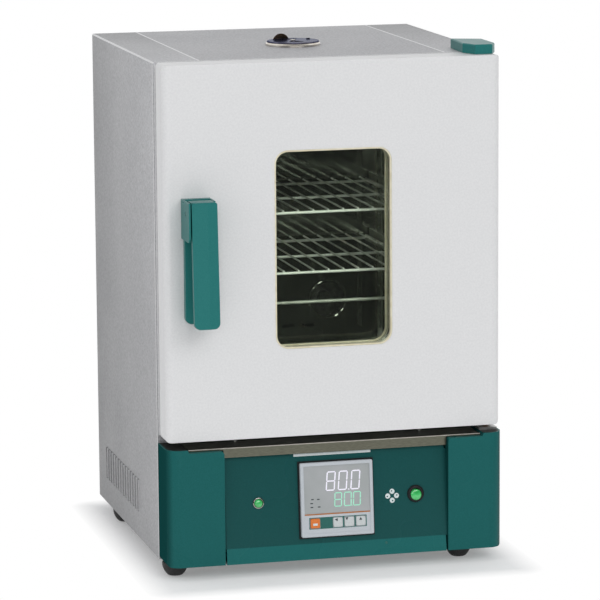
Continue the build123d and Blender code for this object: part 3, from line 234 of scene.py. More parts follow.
def surface(name, dark, light, grain, roughness, relief=0.0, metallic=0.0, coat=0.0, stretch=(1, 1, 1),
            glow=0.0, specular=0.5, contrast=0.15, edge=(1, 1, 1), matt_shaded_sides=False, shade_fades=(), above=None):
    """Solid finish: grain colour, roughness that drifts in patches, and fine relief.

    The faces that look sideways can be matt and darker as painted shade, the colour can darken along an axis
    as painted shade, and a second pair of colours can start at a height.
    """
    shader = Shader(name)
    body = shader.add("ShaderNodeBsdfPrincipled", **{
        "Metallic": metallic, "Specular IOR Level": specular, "Specular Tint": (*edge, 1),
        "Coat Weight": coat, "Coat Roughness": COAT_ROUGHNESS})
    fine = shader.noise(grain, GRAIN_DETAIL, stretch)
    colour = shader.blend(fine, dark, light, contrast)
    # Second colours above a height: painted shade on the control panel, the tab's own colour on the vent.
    if above:
        height, *pair = above
        colour = shader.switched(colour, shader.blend(fine, *pair, contrast), height)
    # Sideways faces darker (painted shade) and without specular.
    if matt_shaded_sides:
        turn = shader.math("ABSOLUTE", shader.along(shader.facing, "X"))
        colour = shader.with_painted_shade(colour, turn, *SHADED_SIDE_TURN, PAINTED_SIDE_SHADE)
        shader.link(shader.span(turn, *SHADED_SIDE_TURN, specular, 0.0), body.inputs["Specular IOR Level"])
    # Colour darkened along an axis: painted shade.
    for axis, start, end, shade in shade_fades:
        colour = shader.with_painted_shade(colour, shader.along(shader.coords, axis), start, end, shade)
    shader.link(colour, body.inputs["Base Color"])
    shader.link(shader.spread(shader.noise(PATCH_SCALE), *roughness), body.inputs["Roughness"])
    if relief:
        shader.link(shader.bump(fine, relief), body.inputs["Normal"])
    if glow:
        shader.link(colour, body.inputs["Emission Color"])
        body.inputs["Emission Strength"].default_value = glow
    return shader.finish(body.outputs["BSDF"])


def glass(name, tint):
    """Clear pane that lets lamps through."""
    shader = Shader(name)
    body = shader.add("ShaderNodeBsdfPrincipled", **{"Transmission Weight": 1.0, "IOR": GLASS_INDEX})
    film = shader.noise(GLASS_FILM)
    paler = [min(1.0, share * GLASS_DRIFT) for share in tint]
    shader.link(shader.blend(film, tint, paler), body.inputs["Base Color"])
    shader.link(shader.spread(film, *GLASS_ROUGHNESS), body.inputs["Roughness"])
    through = shader.add("ShaderNodeBsdfTransparent", Color=(*tint, 1))
    shadow = shader.add("ShaderNodeLightPath").outputs["Is Shadow Ray"]
    return shader.finish(shader.mix(shadow, body.outputs["BSDF"], through.outputs["BSDF"]))


finishes = {
    # One for each slot of the record
    "shell_grey": surface("shell_paint", (0.32, 0.32, 0.33), (0.46, 0.46, 0.475), 400.0, (0.42, 0.5), 0.00008,
                          contrast=0.14),
    "door_white": surface("door_paint", (0.68, 0.68, 0.682), (0.72, 0.72, 0.72), 420.0, (0.34, 0.4), 0.00002),
    "stainless": surface("brushed_sheet", (0.15, 0.15, 0.115), (0.22, 0.22, 0.17), 160.0, (0.26, 0.36),
                         0.00001, 1.0, stretch=(1, 14, 14)),
    "polished_steel": surface("mirror_steel", (0.34, 0.35, 0.31), (0.44, 0.45, 0.40), 5.0, (0.05, 0.12),
                              0.0004, 0.84),
    "chrome_wire": surface("bright_wire", (0.90, 0.90, 0.87), (0.96, 0.96, 0.93), 300.0, (0.2, 0.3), 0.00001,
                           0.25),
    "zinc_steel": surface("zinc_plate", (0.50, 0.50, 0.50), (0.62, 0.62, 0.60), 240.0, (0.28, 0.38), 0.00001,
                          1.0),
    "bronze": surface("sintered_bronze", (0.30, 0.15, 0.07), (0.42, 0.22, 0.11), 900.0, (0.4, 0.5), 0.00003,
                      1.0),
    "element_sheath": surface("oxidised_sheath", (0.10, 0.09, 0.08), (0.22, 0.18, 0.14), 60.0, (0.45, 0.6),
                              0.00002, 1.0),
    "motor_grey": surface("motor_paint", (0.10, 0.10, 0.11), (0.14, 0.14, 0.15), 500.0, (0.4, 0.5), 0.00005),
    "mineral_wool": surface("mineral_wool", (0.42, 0.37, 0.20), (0.66, 0.60, 0.40), 260.0, (0.9, 1.0), 0.0012,
                            stretch=(1, 5, 1)),
    # Teal mouldings: sideways faces darker, painted shade.
    "teal_plastic": surface("teal_moulding_shaded_sides", (0.011, 0.100, 0.096), (0.014, 0.114, 0.110), 700.0,
                            (0.24, 0.32), 0.00003, specular=0.06, matt_shaded_sides=True),
    "rubber_black": surface("foot_rubber", (0.012, 0.012, 0.012), (0.024, 0.024, 0.024), 500.0, (0.6, 0.75),
                            0.00006),
    "silicone_cream": surface("silicone_bead", (0.66, 0.60, 0.42), (0.76, 0.71, 0.54), 90.0, (0.4, 0.5),
                              0.00004),
    "clear_glass": glass("window_pane", (0.93, 0.96, 0.92)),
    "bezel_grey": surface("bezel_moulding", (0.46, 0.49, 0.52), (0.50, 0.53, 0.56), 800.0, (0.34, 0.42),
                          0.00002),
    "display_window": surface("display_face", (0.36, 0.38, 0.38), (0.40, 0.41, 0.42), 30.0, (0.14, 0.2),
                              coat=0.4),
    "key_grey": surface("soft_key", (0.50, 0.53, 0.53), (0.55, 0.58, 0.58), 600.0, (0.35, 0.45), 0.00002),
    "key_orange": surface("soft_key_orange", (0.62, 0.15, 0.02), (0.70, 0.19, 0.03), 600.0, (0.35, 0.45),
                          0.00002),
    "lamp_green": surface("lit_lens", (0.018, 0.27, 0.055), (0.055, 0.43, 0.12), 120.0, (0.08, 0.14), 0.00004,
                          coat=0.8, glow=0.22),
    "lamp_ring": surface("bright_ring", (0.32, 0.33, 0.31), (0.42, 0.43, 0.40), 200.0, (0.1, 0.18), 0.00001,
                         1.0),
    "black_plastic": surface("black_moulding", (0.012, 0.012, 0.013), (0.02, 0.02, 0.021), 700.0, (0.3, 0.4),
                             0.00003, specular=0.15),
    # Others for single nodes, trim, print, and painted light and shade
    # Side sheets: painted shade, darker towards the back and the bottom.
    "side_grey_shaded": surface("side_paint_shaded", (0.385, 0.385, 0.395), (0.55, 0.55, 0.565), 400.0, (0.42, 0.5),
                         0.00008, contrast=0.14, shade_fades=SHEET_SHADE_FADES),
    # Control panel: the darker copy above the crease is painted shade.
    "panel_teal_shaded_upper": surface("panel_paint_shaded_upper", (0.012, 0.118, 0.113), (0.015, 0.130, 0.125), 700.0, (0.24, 0.32),
                          0.00003, specular=0.14,
                          above=(PANEL_CREASE, (0.007, 0.066, 0.064), (0.009, 0.074, 0.072))),
    # Handle and hinge cover: a lighter copy of the teal moulding, painted light.
    "handle_teal_painted_light": surface("handle_moulding_painted_light", (0.020, 0.158, 0.150), (0.025, 0.174, 0.164), 700.0,
                           (0.24, 0.32), 0.00003, specular=0.12),
    "vent_pale": surface("vent_rim", (0.62, 0.57, 0.50), (0.74, 0.70, 0.64), 90.0, (0.14, 0.24), 0.00003,
                         1.0),
    "vent_dark": surface("vent_mirror", (0.10, 0.105, 0.16), (0.22, 0.21, 0.27), 90.0, (0.16, 0.26), 0.0001,
                         1.0, edge=(0.30, 0.32, 0.40),
                         above=(VENT_SPLIT, (0.13, 0.08, 0.055), (0.27, 0.185, 0.13))),
    "rack_steel": surface("rack_steel", (0.42, 0.43, 0.39), (0.54, 0.55, 0.50), 60.0, (0.25, 0.35), 0.00002,
                          0.35),
    "blade_steel": surface("blade_steel", (0.12, 0.12, 0.11), (0.20, 0.20, 0.18), 120.0, (0.35, 0.45),
                           0.00002, 0.9),
    # Sill's plate on the pillars: near black, painted reflection.
    "sheet_painted_dark": surface("sheet_painted_dark", (0.03, 0.03, 0.027), (0.06, 0.06, 0.055), 160.0, (0.3, 0.4), 0.00001,
                          0.6, specular=0.2, edge=(0.4, 0.4, 0.4)),
    # Bright rod on the sill's lip: painted highlight.
    "edge_painted_highlight": surface("edge_painted_highlight", (0.34, 0.32, 0.28), (0.44, 0.42, 0.37), 160.0, (0.3, 0.4), 0.00001),
    # Pale finish for painted highlights and painted light.
    "pale_painted_light": surface("pale_painted_light", (0.66, 0.66, 0.67), (0.74, 0.74, 0.74), 300.0, (0.3, 0.36), 0.00001),
    "key_strip": surface("key_strip", (0.007, 0.105, 0.09), (0.010, 0.12, 0.10), 500.0, (0.4, 0.5), 0.00002),
    "white_digit": surface("white_digit", (0.80, 0.77, 0.88), (0.88, 0.86, 0.94), 300.0, (0.3, 0.4),
                           glow=0.1),
    "green_digit": surface("green_digit", (0.30, 0.74, 0.52), (0.38, 0.80, 0.60), 300.0, (0.3, 0.4),
                           glow=0.08),
    "dark_ink": surface("dark_ink", (0.02, 0.03, 0.035), (0.035, 0.045, 0.05), 500.0, (0.4, 0.5)),
    "amber_ink": surface("amber_ink", (0.34, 0.12, 0.03), (0.40, 0.15, 0.04), 500.0, (0.4, 0.5)),
    # Pale print on the key and the fan symbol, and the bare plate's painted sheen.
    "pale_print_and_sheen": surface("pale_print_and_sheen", (0.58, 0.64, 0.64), (0.64, 0.70, 0.70), 500.0, (0.45, 0.55)),
}
OWN_FINISH = {"side_shell_left": "side_grey_shaded", "side_shell_right": "side_grey_shaded", "control_panel": "panel_teal_shaded_upper",
              "handle_base": "handle_teal_painted_light", "handle_lever": "handle_teal_painted_light", "hinge_cover": "handle_teal_painted_light",
              "vent_damper": "vent_dark", "vent_flange": "vent_pale", "rack_uprights": "rack_steel",
              "shelf_runners": "rack_steel", "fan_rotor": "blade_steel"}
SOFT_EDGES = {"handle_lever": 3.2 * MM, "handle_base": 0.8 * MM, "hinge_cover": 2.0 * MM,
              "base_pillar_left": 1.8 * MM, "base_pillar_right": 1.8 * MM}
SHARP_ANGLE = math.radians(40)
WELD_REACH = 0.01 * MM
BEVEL_STEPS = 3


def dress_nodes():
    """Gives every carried-over node the finish of its slot, or one of its own."""
    slots = {part["node"]: part["material_slot"] for part in frame["record"]["subparts"]}
    for name, node in nodes.items():
        node.data.materials.clear()
        node.data.materials.append(finishes[OWN_FINISH.get(name, slots[name])])


def soften_edges():
    """Rounds the sharp edges of some carried-over nodes a little."""
    for name, width in SOFT_EDGES.items():
        merge = nodes[name].modifiers.new("merged", "WELD")
        merge.merge_threshold = WELD_REACH
        bevel = nodes[name].modifiers.new("softened", "BEVEL")
        bevel.width = width
        bevel.segments = BEVEL_STEPS
        bevel.limit_method = "ANGLE"
        bevel.angle_limit = SHARP_ANGLE


# Mesh helpers


ON_AXIS = 1e-7
END_SHARE = 0.55
END_LENGTH = 0.3


def piece(name, mesh, material, body):
    """Adds a finished mesh to the scene, smooth between its sharp edges, riding on a body."""
    data = bpy.data.meshes.new(name)
    bmesh.ops.recalc_face_normals(mesh, faces=mesh.faces)
    mesh.to_mesh(data)
    mesh.free()
    data.materials.append(material)
    data.shade_smooth()
    data.set_sharp_from_angle(angle=SHARP_ANGLE)
    thing = bpy.data.objects.new(name, data)
    bpy.context.scene.collection.objects.link(thing)
    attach(thing, body)
    return thing


def in_mm(profile):
    """Points given in millimetres, in metres."""
    return [(x * MM, y * MM) for x, y in profile]


def lathe(mesh, profile, place, segments=48):
    """Turns (radius, height) points about the local z of a frame. The ends lie on the axis or join up."""
    rings = []
    for radius, height in profile:
        if radius < ON_AXIS:
            rings.append([mesh.verts.new(place @ Vector((0, 0, height)))])
            continue
        angles = [2 * math.pi * i / segments for i in range(segments)]
        rings.append([mesh.verts.new(place @ Vector((radius * math.cos(a), radius * math.sin(a), height)))
                      for a in angles])
    joined = profile[0][0] > ON_AXIS
    pairs = list(zip(rings, rings[1:])) + ([(rings[-1], rings[0])] if joined else [])
    for first, second in pairs:
        for i in range(segments):
            j = (i + 1) % segments
            corners = [first[i % len(first)], first[j % len(first)], second[j % len(second)],
                       second[i % len(second)]]
            mesh.faces.new(list(dict.fromkeys(corners)))


def tube(mesh, points, radius, sides=12):
    """Round bar along points, with slightly rounded ends."""
    path = [Vector(p) for p in points]
    last = len(path) - 1
    stations = [(0, END_SHARE, 0.0), (0, 1.0, END_LENGTH)] + [(k, 1.0, 0.0) for k in range(1, last)]
    stations += [(last, 1.0, -END_LENGTH), (last, END_SHARE, 0.0)]
    rings = []
    side = (path[1] - path[0]).normalized().orthogonal().normalized()
    for k, share, shift in stations:
        along = (path[min(k + 1, last)] - path[max(k - 1, 0)]).normalized()
        side = (side - side.dot(along) * along).normalized()
        across = along.cross(side)
        centre = path[k] + shift * radius * along
        rings.append([mesh.verts.new(centre + radius * share * (
            math.cos(2 * math.pi * i / sides) * side + math.sin(2 * math.pi * i / sides) * across))
            for i in range(sides)])
    for first, second in zip(rings, rings[1:]):
        for i in range(sides):
            j = (i + 1) % sides
            mesh.faces.new((first[i], first[j], second[j], second[i]))
    mesh.faces.new(rings[0])
    mesh.faces.new(rings[-1])


def plate(mesh, outline, place, thickness):
    """Flat plate: an outline of local points made solid towards the local z."""
    low = [mesh.verts.new(place @ Vector((x, y, 0))) for x, y in outline]
    high = [mesh.verts.new(place @ Vector((x, y, thickness))) for x, y in outline]
    mesh.faces.new(low)
    mesh.faces.new(high)
    count = len(outline)
    for i in range(count):
        j = (i + 1) % count
        mesh.faces.new((low[i], low[j], high[j], high[i]))


def cells(mesh, xs, ys, filled, place, thickness):
    """Plate made of grid cells, so that it can have square holes."""
    for i in range(len(xs) - 1):
        for j in range(len(ys) - 1):
            if filled(i, j):
                plate(mesh, ((xs[i], ys[j]), (xs[i + 1], ys[j]), (xs[i + 1], ys[j + 1]), (xs[i], ys[j + 1])),
                      place, thickness)


def arc(x, y, radius, start, end, steps):
    """Points along an arc, in degrees."""
    for k in range(steps + 1):
        angle = math.radians(start + (end - start) * k / steps)
        yield x + radius * math.cos(angle), y + radius * math.sin(angle)


# Wire shelves


WIRE_COUNT = 14
WIRE_PITCH = 18.4 * MM
WIRE_RADIUS = 1.2 * MM
FRAME_ROD_RADIUS = 1.7 * MM
SHELF_CORNER = 8.0 * MM
BACK_ROD_INSET = 20.0 * MM
WELD_SINK = 0.4 * MM


def wire_shelf(name):
    """Smooth shelf over its plain node: bent frame rod, cross rods and wires welded on top."""
    low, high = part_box(name)
    level = low.z + FRAME_ROD_RADIUS
    x = high.x - FRAME_ROD_RADIUS
    front = low.y + FRAME_ROD_RADIUS
    back = high.y
    mesh = bmesh.new()
    loop = [(-x, back)]
    for centre, start in ((SHELF_CORNER - x, 180), (x - SHELF_CORNER, 270)):
        loop += arc(centre, front + SHELF_CORNER, SHELF_CORNER, start, start + 90, steps=8)
    loop.append((x, back))
    tube(mesh, [(*point, level) for point in loop], FRAME_ROD_RADIUS, sides=16)
    for y in ((front + back - BACK_ROD_INSET) / 2, back - BACK_ROD_INSET):
        tube(mesh, ((-x, y, level), (x, y, level)), FRAME_ROD_RADIUS, sides=16)
    wire_level = level + FRAME_ROD_RADIUS + WIRE_RADIUS - WELD_SINK
    for index in range(WIRE_COUNT):
        wire_x = (index - (WIRE_COUNT - 1) / 2) * WIRE_PITCH
        tube(mesh, ((wire_x, low.y, wire_level), (wire_x, back, wire_level)), WIRE_RADIUS)
    shelf = piece(name + "_wires", mesh, finishes["chrome_wire"], name)
    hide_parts(name)


# Feet


FOOT_RADIUS = 15.5 * MM
SOLE_PROFILE = ((0, 4), (4.5, 4), (4.5, 0.2), (4.9, 0), (8.4, 0), (9.2, 0.5))
BOWL_STEPS = 8
BOWL_POWER = 0.8
BOWL_STOP = 2.2 * MM
FOOT_RIM = 0.8 * MM
FOOT_BEVEL = 0.6 * MM


def rubber_feet():
    """Bowl-shaped feet, turned, with a soft rim and a screw recess in the sole."""
    low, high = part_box("feet")
    height = high.z
    profile = in_mm(SOLE_PROFILE)
    edge, bottom = profile[-1]
    for k in range(1, BOWL_STEPS + 1):
        share = k / BOWL_STEPS
        profile.append((edge + (FOOT_RADIUS - edge) * math.sin(share * math.pi / 2) ** BOWL_POWER,
                        bottom + share * (height - BOWL_STOP)))
    profile += [(FOOT_RADIUS, height - FOOT_RIM), (FOOT_RADIUS - FOOT_BEVEL, height), (0, height)]
    mesh = bmesh.new()
    for x in (low.x + FOOT_RADIUS, high.x - FOOT_RADIUS):
        for y in (low.y + FOOT_RADIUS, high.y - FOOT_RADIUS):
            lathe(mesh, profile, Matrix.Translation((x, y, 0)))
    feet = piece("turned_feet", mesh, finishes["rubber_black"], "cabinet")
    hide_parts("feet")


# Display, keys and lights on the panel. Places are in millimetres from the controller's middle.


DIGIT_STROKES = {"0": "abcdef", "8": "abcdefg"}
FILM = 0.12 * MM
BEZEL_SIZE = 89 * MM
RECESS = 0.8 * MM
DISPLAY_DROP = 1.0 * MM
KEY_SIZE = 11.4 * MM
KEY_ROOM = 0.5 * MM
KEY_NAMES = ("key_set", "key_shift", "key_down", "key_up")
STROKE_GAP = 0.12
DOT_SHARE = 0.55
MARK_PLACES = ((-30.3, 0.7), (-23.1, 0.5), (-31.4, -4.0), (-31.2, -8.7), (-22.3, -8.6))
MARK_SIZE = (3.2, 1.3)
LINE_HEIGHT = -18.2
LINE_SIZE = (80.5, 1.6)
STRIP_LEFT, STRIP_RIGHT, STRIP_LOW, STRIP_HIGH = -35.0, 35.6, -35.0, -21.1
ARROWS = (("key_shift", 90, -2.2, 3.2), ("key_down", 180, -3.2, 3.4), ("key_up", 0, -0.3, 2.9))
ARROW_SIZE = 1.8 * MM
KEY_FIELD = (-2.85, -2.5, 5.5, 2.6)
SEAT_DEPTH = 1.9 * MM
SWITCH_TO_SIGN = 29 * MM
PETAL = (5.4 * MM, 0, 3.1 * MM)
PETAL_HOLE = (5.9 * MM, 0.6 * MM, 0.9 * MM)
FULL_TURN = (0, 345)
DOME_STEPS = 7
LAMP_LENS = {"radius": 4.95, "rise": 2.0, "depth": 4.1}
SWITCH_LENS = {"radius": 6.5, "rise": 1.4, "depth": 14.0}
LAMP_RING = ((5.0, -0.5), (5.3, -0.1), (5.9, 0), (6.6, -0.35), (6.9, -0.9), (7.0, -1.6), (5.6, -1.6),
             (5.6, -25.6), (5.0, -25.6))
SWITCH_RING = ((6.6, -0.6), (7.0, -0.15), (7.8, 0), (9.2, -0.35), (10.0, -1.1), (10.35, -2.2), (10.35, -3.0),
               (8.0, -3.0), (8.0, -31.0), (6.6, -31.0))


def rise_of(node, size):
    """How far a square piece on the panel reaches along the panel's normal."""
    low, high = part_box(node)
    return ((high.y - low.y) - size * abs(PANEL_UP.y)) / abs(PANEL_OUT.y)


def square(mesh, left, bottom, width, height, place):
    """Thin printed rectangle, in millimetres."""
    right = left + width
    top = bottom + height
    plate(mesh, in_mm(((left, bottom), (right, bottom), (right, top), (left, top))), place, FILM)


def digit(mesh, place, left, bottom, width, height, stroke, lean, strokes):
    """One seven-bar digit of six-sided bars that leans over to the right."""
    half = stroke / 2
    gap = stroke * STROKE_GAP
    low, mid, high = half, height / 2, height - half
    near, far = half, width - half
    ends = {"a": ((near, high), (far, high)), "b": ((far, high), (far, mid)), "c": ((far, mid), (far, low)),
            "d": ((near, low), (far, low)), "e": ((near, low), (near, mid)), "f": ((near, mid), (near, high)),
            "g": ((near, mid), (far, mid))}
    for name in strokes:
        start, end = (Vector(p) for p in ends[name])
        along = (end - start).normalized()
        across = Vector((-along.y, along.x)) * half
        start = start + along * gap
        end = end - along * gap
        outline = [start, start + along * half - across, end - along * half - across, end,
                   end - along * half + across, start + along * half + across]
        plate(mesh, in_mm((left + p.x + lean * p.y / height, bottom + p.y) for p in outline), place, FILM)


def readout(name, material, place, lefts, bottom, size, stroke, lean, dot):
    """The number 80.0 in bars, with its point."""
    mesh = bmesh.new()
    for symbol, left in zip("800", lefts):
        digit(mesh, place, left, bottom, size[0] - lean, size[1], stroke, lean, DIGIT_STROKES[symbol])
    point = arc(dot, bottom + stroke / 2, stroke * DOT_SHARE, *FULL_TURN, steps=15)
    plate(mesh, in_mm(point), place, FILM)
    piece(name, mesh, material, "cabinet")


def controller_face():
    """Digits, marks, coloured line and key strip of the instrument."""
    proud = rise_of("controller_bezel", BEZEL_SIZE)
    face = front_of_panel("controller_bezel", proud / 2 - RECESS)
    window = front_of_panel("controller_bezel", proud / 2 - DISPLAY_DROP)
    readout("display_value", finishes["white_digit"], window, lefts=(-13.9, 0.9, 16.4),
            bottom=9.9, size=(13.4, 23.3), stroke=1.5, lean=2.1, dot=14.6)
    readout("display_target", finishes["green_digit"], window, lefts=(-3.8, 8.0, 19.2),
            bottom=-9.6, size=(10.3, 17.2), stroke=1.25, lean=0.8, dot=17.9)
    mesh = bmesh.new()
    for x, y in MARK_PLACES:
        square(mesh, x - MARK_SIZE[0] / 2, y - MARK_SIZE[1] / 2, *MARK_SIZE, window)
    piece("display_marks", mesh, finishes["dark_ink"], "cabinet")
    mesh = bmesh.new()
    square(mesh, -LINE_SIZE[0] / 2, LINE_HEIGHT, *LINE_SIZE, face)
    piece("display_line", mesh, finishes["amber_ink"], "cabinet")
    key_strip(face)
    key_symbols()


def key_strip(face):
    """Thin coloured film round the four keys."""
    centre = middle("controller_bezel")
    xs = [STRIP_LEFT * MM]
    for name in KEY_NAMES:
        low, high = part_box(name)
        xs += [low.x - centre.x - KEY_ROOM, high.x - centre.x + KEY_ROOM]
    xs.append(STRIP_RIGHT * MM)
    row = (middle("key_up") - centre).dot(PANEL_UP)
    half_key = KEY_SIZE / 2 + KEY_ROOM
    ys = [STRIP_LOW * MM, row - half_key, row + half_key, STRIP_HIGH * MM]
    mesh = bmesh.new()
    cells(mesh, xs, ys, lambda i, j: not (i % 2 == 1 and j == 1), face, FILM)
    piece("key_strip", mesh, finishes["key_strip"], "cabinet")


def key_symbols():
    """Small arrow head on each grey key and a pale field on the orange one."""
    proud = rise_of("key_up", KEY_SIZE) / 2
    for name, turn, x, y in ARROWS:
        mesh = bmesh.new()
        place = front_of_panel(name, proud) @ Matrix.Translation((x * MM, y * MM, 0))
        place = place @ Matrix.Rotation(math.radians(turn), 4, "Z")
        plate(mesh, ((-ARROW_SIZE, -ARROW_SIZE), (ARROW_SIZE, -ARROW_SIZE), (0, ARROW_SIZE)), place, FILM)
        piece(name + "_arrow", mesh, finishes["dark_ink"], name)
    mesh = bmesh.new()
    square(mesh, *KEY_FIELD, front_of_panel("key_set", proud))
    piece("key_set_field", mesh, finishes["pale_print_and_sheen"], "key_set")


def panel_point(x, z):
    """Frame on the panel's face at x and height z, taken from the controller's seat."""
    place = front_of_panel("controller_bezel", -rise_of("controller_bezel", BEZEL_SIZE) / 2 - SEAT_DEPTH)
    place.translation += (z - place.translation.z) / PANEL_UP.z * PANEL_UP
    place.translation.x = x
    return place


def washer(mesh, outer, inner, place):
    """Flat ring between two outlines with the same number of points."""
    loops = []
    for outline, level in ((outer, 0), (outer, FILM), (inner, FILM), (inner, 0)):
        loops.append([mesh.verts.new(place @ Vector((x, y, level))) for x, y in outline])
    for first, second in zip(loops, loops[1:] + loops[:1]):
        for i in range(len(first)):
            j = (i + 1) % len(first)
            mesh.faces.new((first[i], first[j], second[j], second[i]))


def fan_symbol():
    """Four round petals printed beside the fan switch."""
    switch = middle("fan_switch_bezel")
    base = panel_point(switch.x - SWITCH_TO_SIGN, switch.z)
    petal, hole = (list(arc(*circle, *FULL_TURN, steps=23)) for circle in (PETAL, PETAL_HOLE))
    mesh = bmesh.new()
    for quarter in range(4):
        washer(mesh, petal, hole, base @ Matrix.Rotation(math.radians(90 * quarter), 4, "Z"))
    piece("fan_symbol", mesh, finishes["pale_print_and_sheen"], "cabinet")


def turned_on_panel(name, node, body, slot, profile):
    """Smooth round piece on the panel in place of its node, its profile in millimetres from the front."""
    width = 2 * max(radius for radius, height in profile) * MM
    place = front_of_panel(node, rise_of(node, width) / 2)
    mesh = bmesh.new()
    lathe(mesh, in_mm(profile), place)
    thing = piece(name, mesh, finishes[slot], body)
    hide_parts(node)


def dome(radius, rise, depth):
    """Profile of a round cap on a straight barrel."""
    angles = [math.pi / 2 * k / DOME_STEPS for k in range(DOME_STEPS + 1)]
    curve = [(radius * math.sin(angle), rise * (math.cos(angle) - 1)) for angle in angles]
    return curve + [(radius, -depth), (0, -depth)]


def panel_lights():
    """Domed lenses in their turned rings."""
    turned_on_panel("lamp_lens", "run_lamp_lens", "cabinet", "lamp_green", dome(**LAMP_LENS))
    turned_on_panel("switch_lens", "fan_button", "fan_button", "lamp_green", dome(**SWITCH_LENS))
    turned_on_panel("lamp_bezel", "run_lamp_bezel", "cabinet", "lamp_ring", LAMP_RING)
    turned_on_panel("switch_bezel", "fan_switch_bezel", "cabinet", "black_plastic", SWITCH_RING)


# Trim above the panel


TRIM_RISE = 6.2 * MM
TRIM_SINK = 0.6 * MM
TRIM_WALL = 1.2 * MM
SIDE_OVERLAP = 0.2 * MM
PLATE_LEFT, PLATE_RIGHT = -50.5 * MM, 44.0 * MM
PLATE_LOW, PLATE_HIGH = 1.0 * MM, 4.1 * MM


def panel_trim():
    """Panel edge turned up behind the sill's lip and back beside the pillars, with a bare plate on it, pale as
    painted sheen.
    """
    low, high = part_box("control_panel")
    top = panel_point(0, high.z)
    behind = top @ Matrix.Translation((0, 0, -TRIM_WALL))
    length = (high.z - PANEL_CREASE) / PANEL_UP.z
    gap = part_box("base_pillar_right")[0].x + SIDE_OVERLAP
    mesh = bmesh.new()
    plate(mesh, ((low.x, -TRIM_SINK), (high.x, -TRIM_SINK), (high.x, TRIM_RISE), (low.x, TRIM_RISE)), behind,
          TRIM_WALL)
    for near, far in ((-gap, low.x + SIDE_OVERLAP), (high.x - SIDE_OVERLAP, gap)):
        plate(mesh, ((near, -length), (far, -length), (far, 0), (near, 0)),
              behind @ Matrix.Translation((0, 0, -TRIM_WALL / 2)), TRIM_WALL)
    piece("panel_edge_trim", mesh, finishes["panel_teal_shaded_upper"], "cabinet")
    # Bare metal plate, its pale colour a painted sheen.
    mesh = bmesh.new()
    plate(mesh, ((PLATE_LEFT, PLATE_LOW), (PLATE_RIGHT, PLATE_LOW), (PLATE_RIGHT, PLATE_HIGH),
                 (PLATE_LEFT, PLATE_HIGH)), top, 2 * FILM)
    piece("bare_plate_pale_sheen", mesh, finishes["pale_print_and_sheen"], "cabinet")


# Painted highlights where the sheets are folded


EDGE_WIDTH = 2.4 * MM
EDGE_PROUD = 0.25 * MM
STRIP_SECTION = ((-0.5, -0.2), (-0.5, 0.5), (-0.35, 1.0), (0.35, 1.0), (0.5, 0.5), (0.5, -0.2))
SEAM_OFFSET = 0.2 * MM
SHELL_CORNER = 2.5 * MM
LOUVRE_RISE = 1.6 * MM


def strip_along(mesh, start, end, across, out):
    """Thin rounded strip from start to end, centred across, standing out a little."""
    start, end, across, out = (Vector(v) for v in (start, end, across, out))
    rings = [[mesh.verts.new(p + a * EDGE_WIDTH * across + o * EDGE_PROUD * out) for a, o in STRIP_SECTION]
             for p in (start, end)]
    count = len(STRIP_SECTION)
    for i in range(count):
        j = (i + 1) % count
        mesh.faces.new((rings[0][i], rings[0][j], rings[1][j], rings[1][i]))
    mesh.faces.new(rings[0])
    mesh.faces.new(rings[1])


def fold_highlights():
    """Painted highlights of the cabinet: pale strips on its seams, folds, the front of the top and the front
    corners.
    """
    low, high = SHEET_LOW, SHEET_HIGH
    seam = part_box("top_panel")[1].x + SEAM_OFFSET
    outer = -low.x - LOUVRE_RISE
    fold = SHELL_CORNER * (1 - math.sqrt(0.5))
    front = low.y + EDGE_WIDTH / 2
    mesh = bmesh.new()
    for side in (-1, 1):
        strip_along(mesh, (side * seam, low.y, high.z), (side * seam, high.y, high.z), (1, 0, 0), (0, 0, 1))
        strip_along(mesh, (side * outer, front, low.z), (side * outer, front, high.z - SHELL_CORNER),
                    (0, 1, 0), (side, 0, 0))
        strip_along(mesh, (side * (outer - fold), low.y, high.z - fold),
                    (side * (outer - fold), high.y, high.z - fold),
                    Vector((side, 0, -1)).normalized(), Vector((side, 0, 1)).normalized())
    reach = outer - SHELL_CORNER
    strip_along(mesh, (-reach, front, high.z), (reach, front, high.z), (0, 1, 0), (0, 0, 1))
    piece("fold_highlights", mesh, finishes["pale_painted_light"], "cabinet")


# Sill: its plate on the pillars painted dark as reflection, a painted highlight on the lip's edge, and the screw
# below it


EDGE_ROD = 0.6 * MM
SCREW_X, SCREW_HEIGHT = 60.7 * MM, 30 * MM
SCREW_PROFILE = ((0, 0.5), (1.19, 0.4), (1.7, 0), (1.7, -1), (0, -1))
LIP_SETBACK = 2.2 * MM
CAP_RIM = 2.2 * MM
CAP_THICKNESS = 0.2 * MM
PILLAR_CORNER = 17 * MM
PILLAR_SHOULDER = 24.6 * MM
CLEAR_ROOM = 0.2 * MM


def sill_ends():
    """Thin sheet on top of each pillar's shoulder, inside its rounded rim, near black as a painted dark
    reflection.
    """
    low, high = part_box("base_pillar_right")
    corner = (high.x - PILLAR_CORNER, low.y + PILLAR_CORNER)
    inner, back = high.x - PILLAR_SHOULDER, high.y - CLEAR_ROOM
    mesh = bmesh.new()
    for side in (-1, 1):
        outline = [(inner, back), (inner, low.y + CAP_RIM)]
        outline += arc(*corner, PILLAR_CORNER - CAP_RIM, 270, 360, steps=10)
        outline.append((high.x - CAP_RIM, back))
        plate(mesh, [(side * x, y) for x, y in outline], Matrix.Translation((0, 0, high.z)), CAP_THICKNESS)
    piece("sill_ends", mesh, finishes["sheet_painted_dark"], "cabinet")


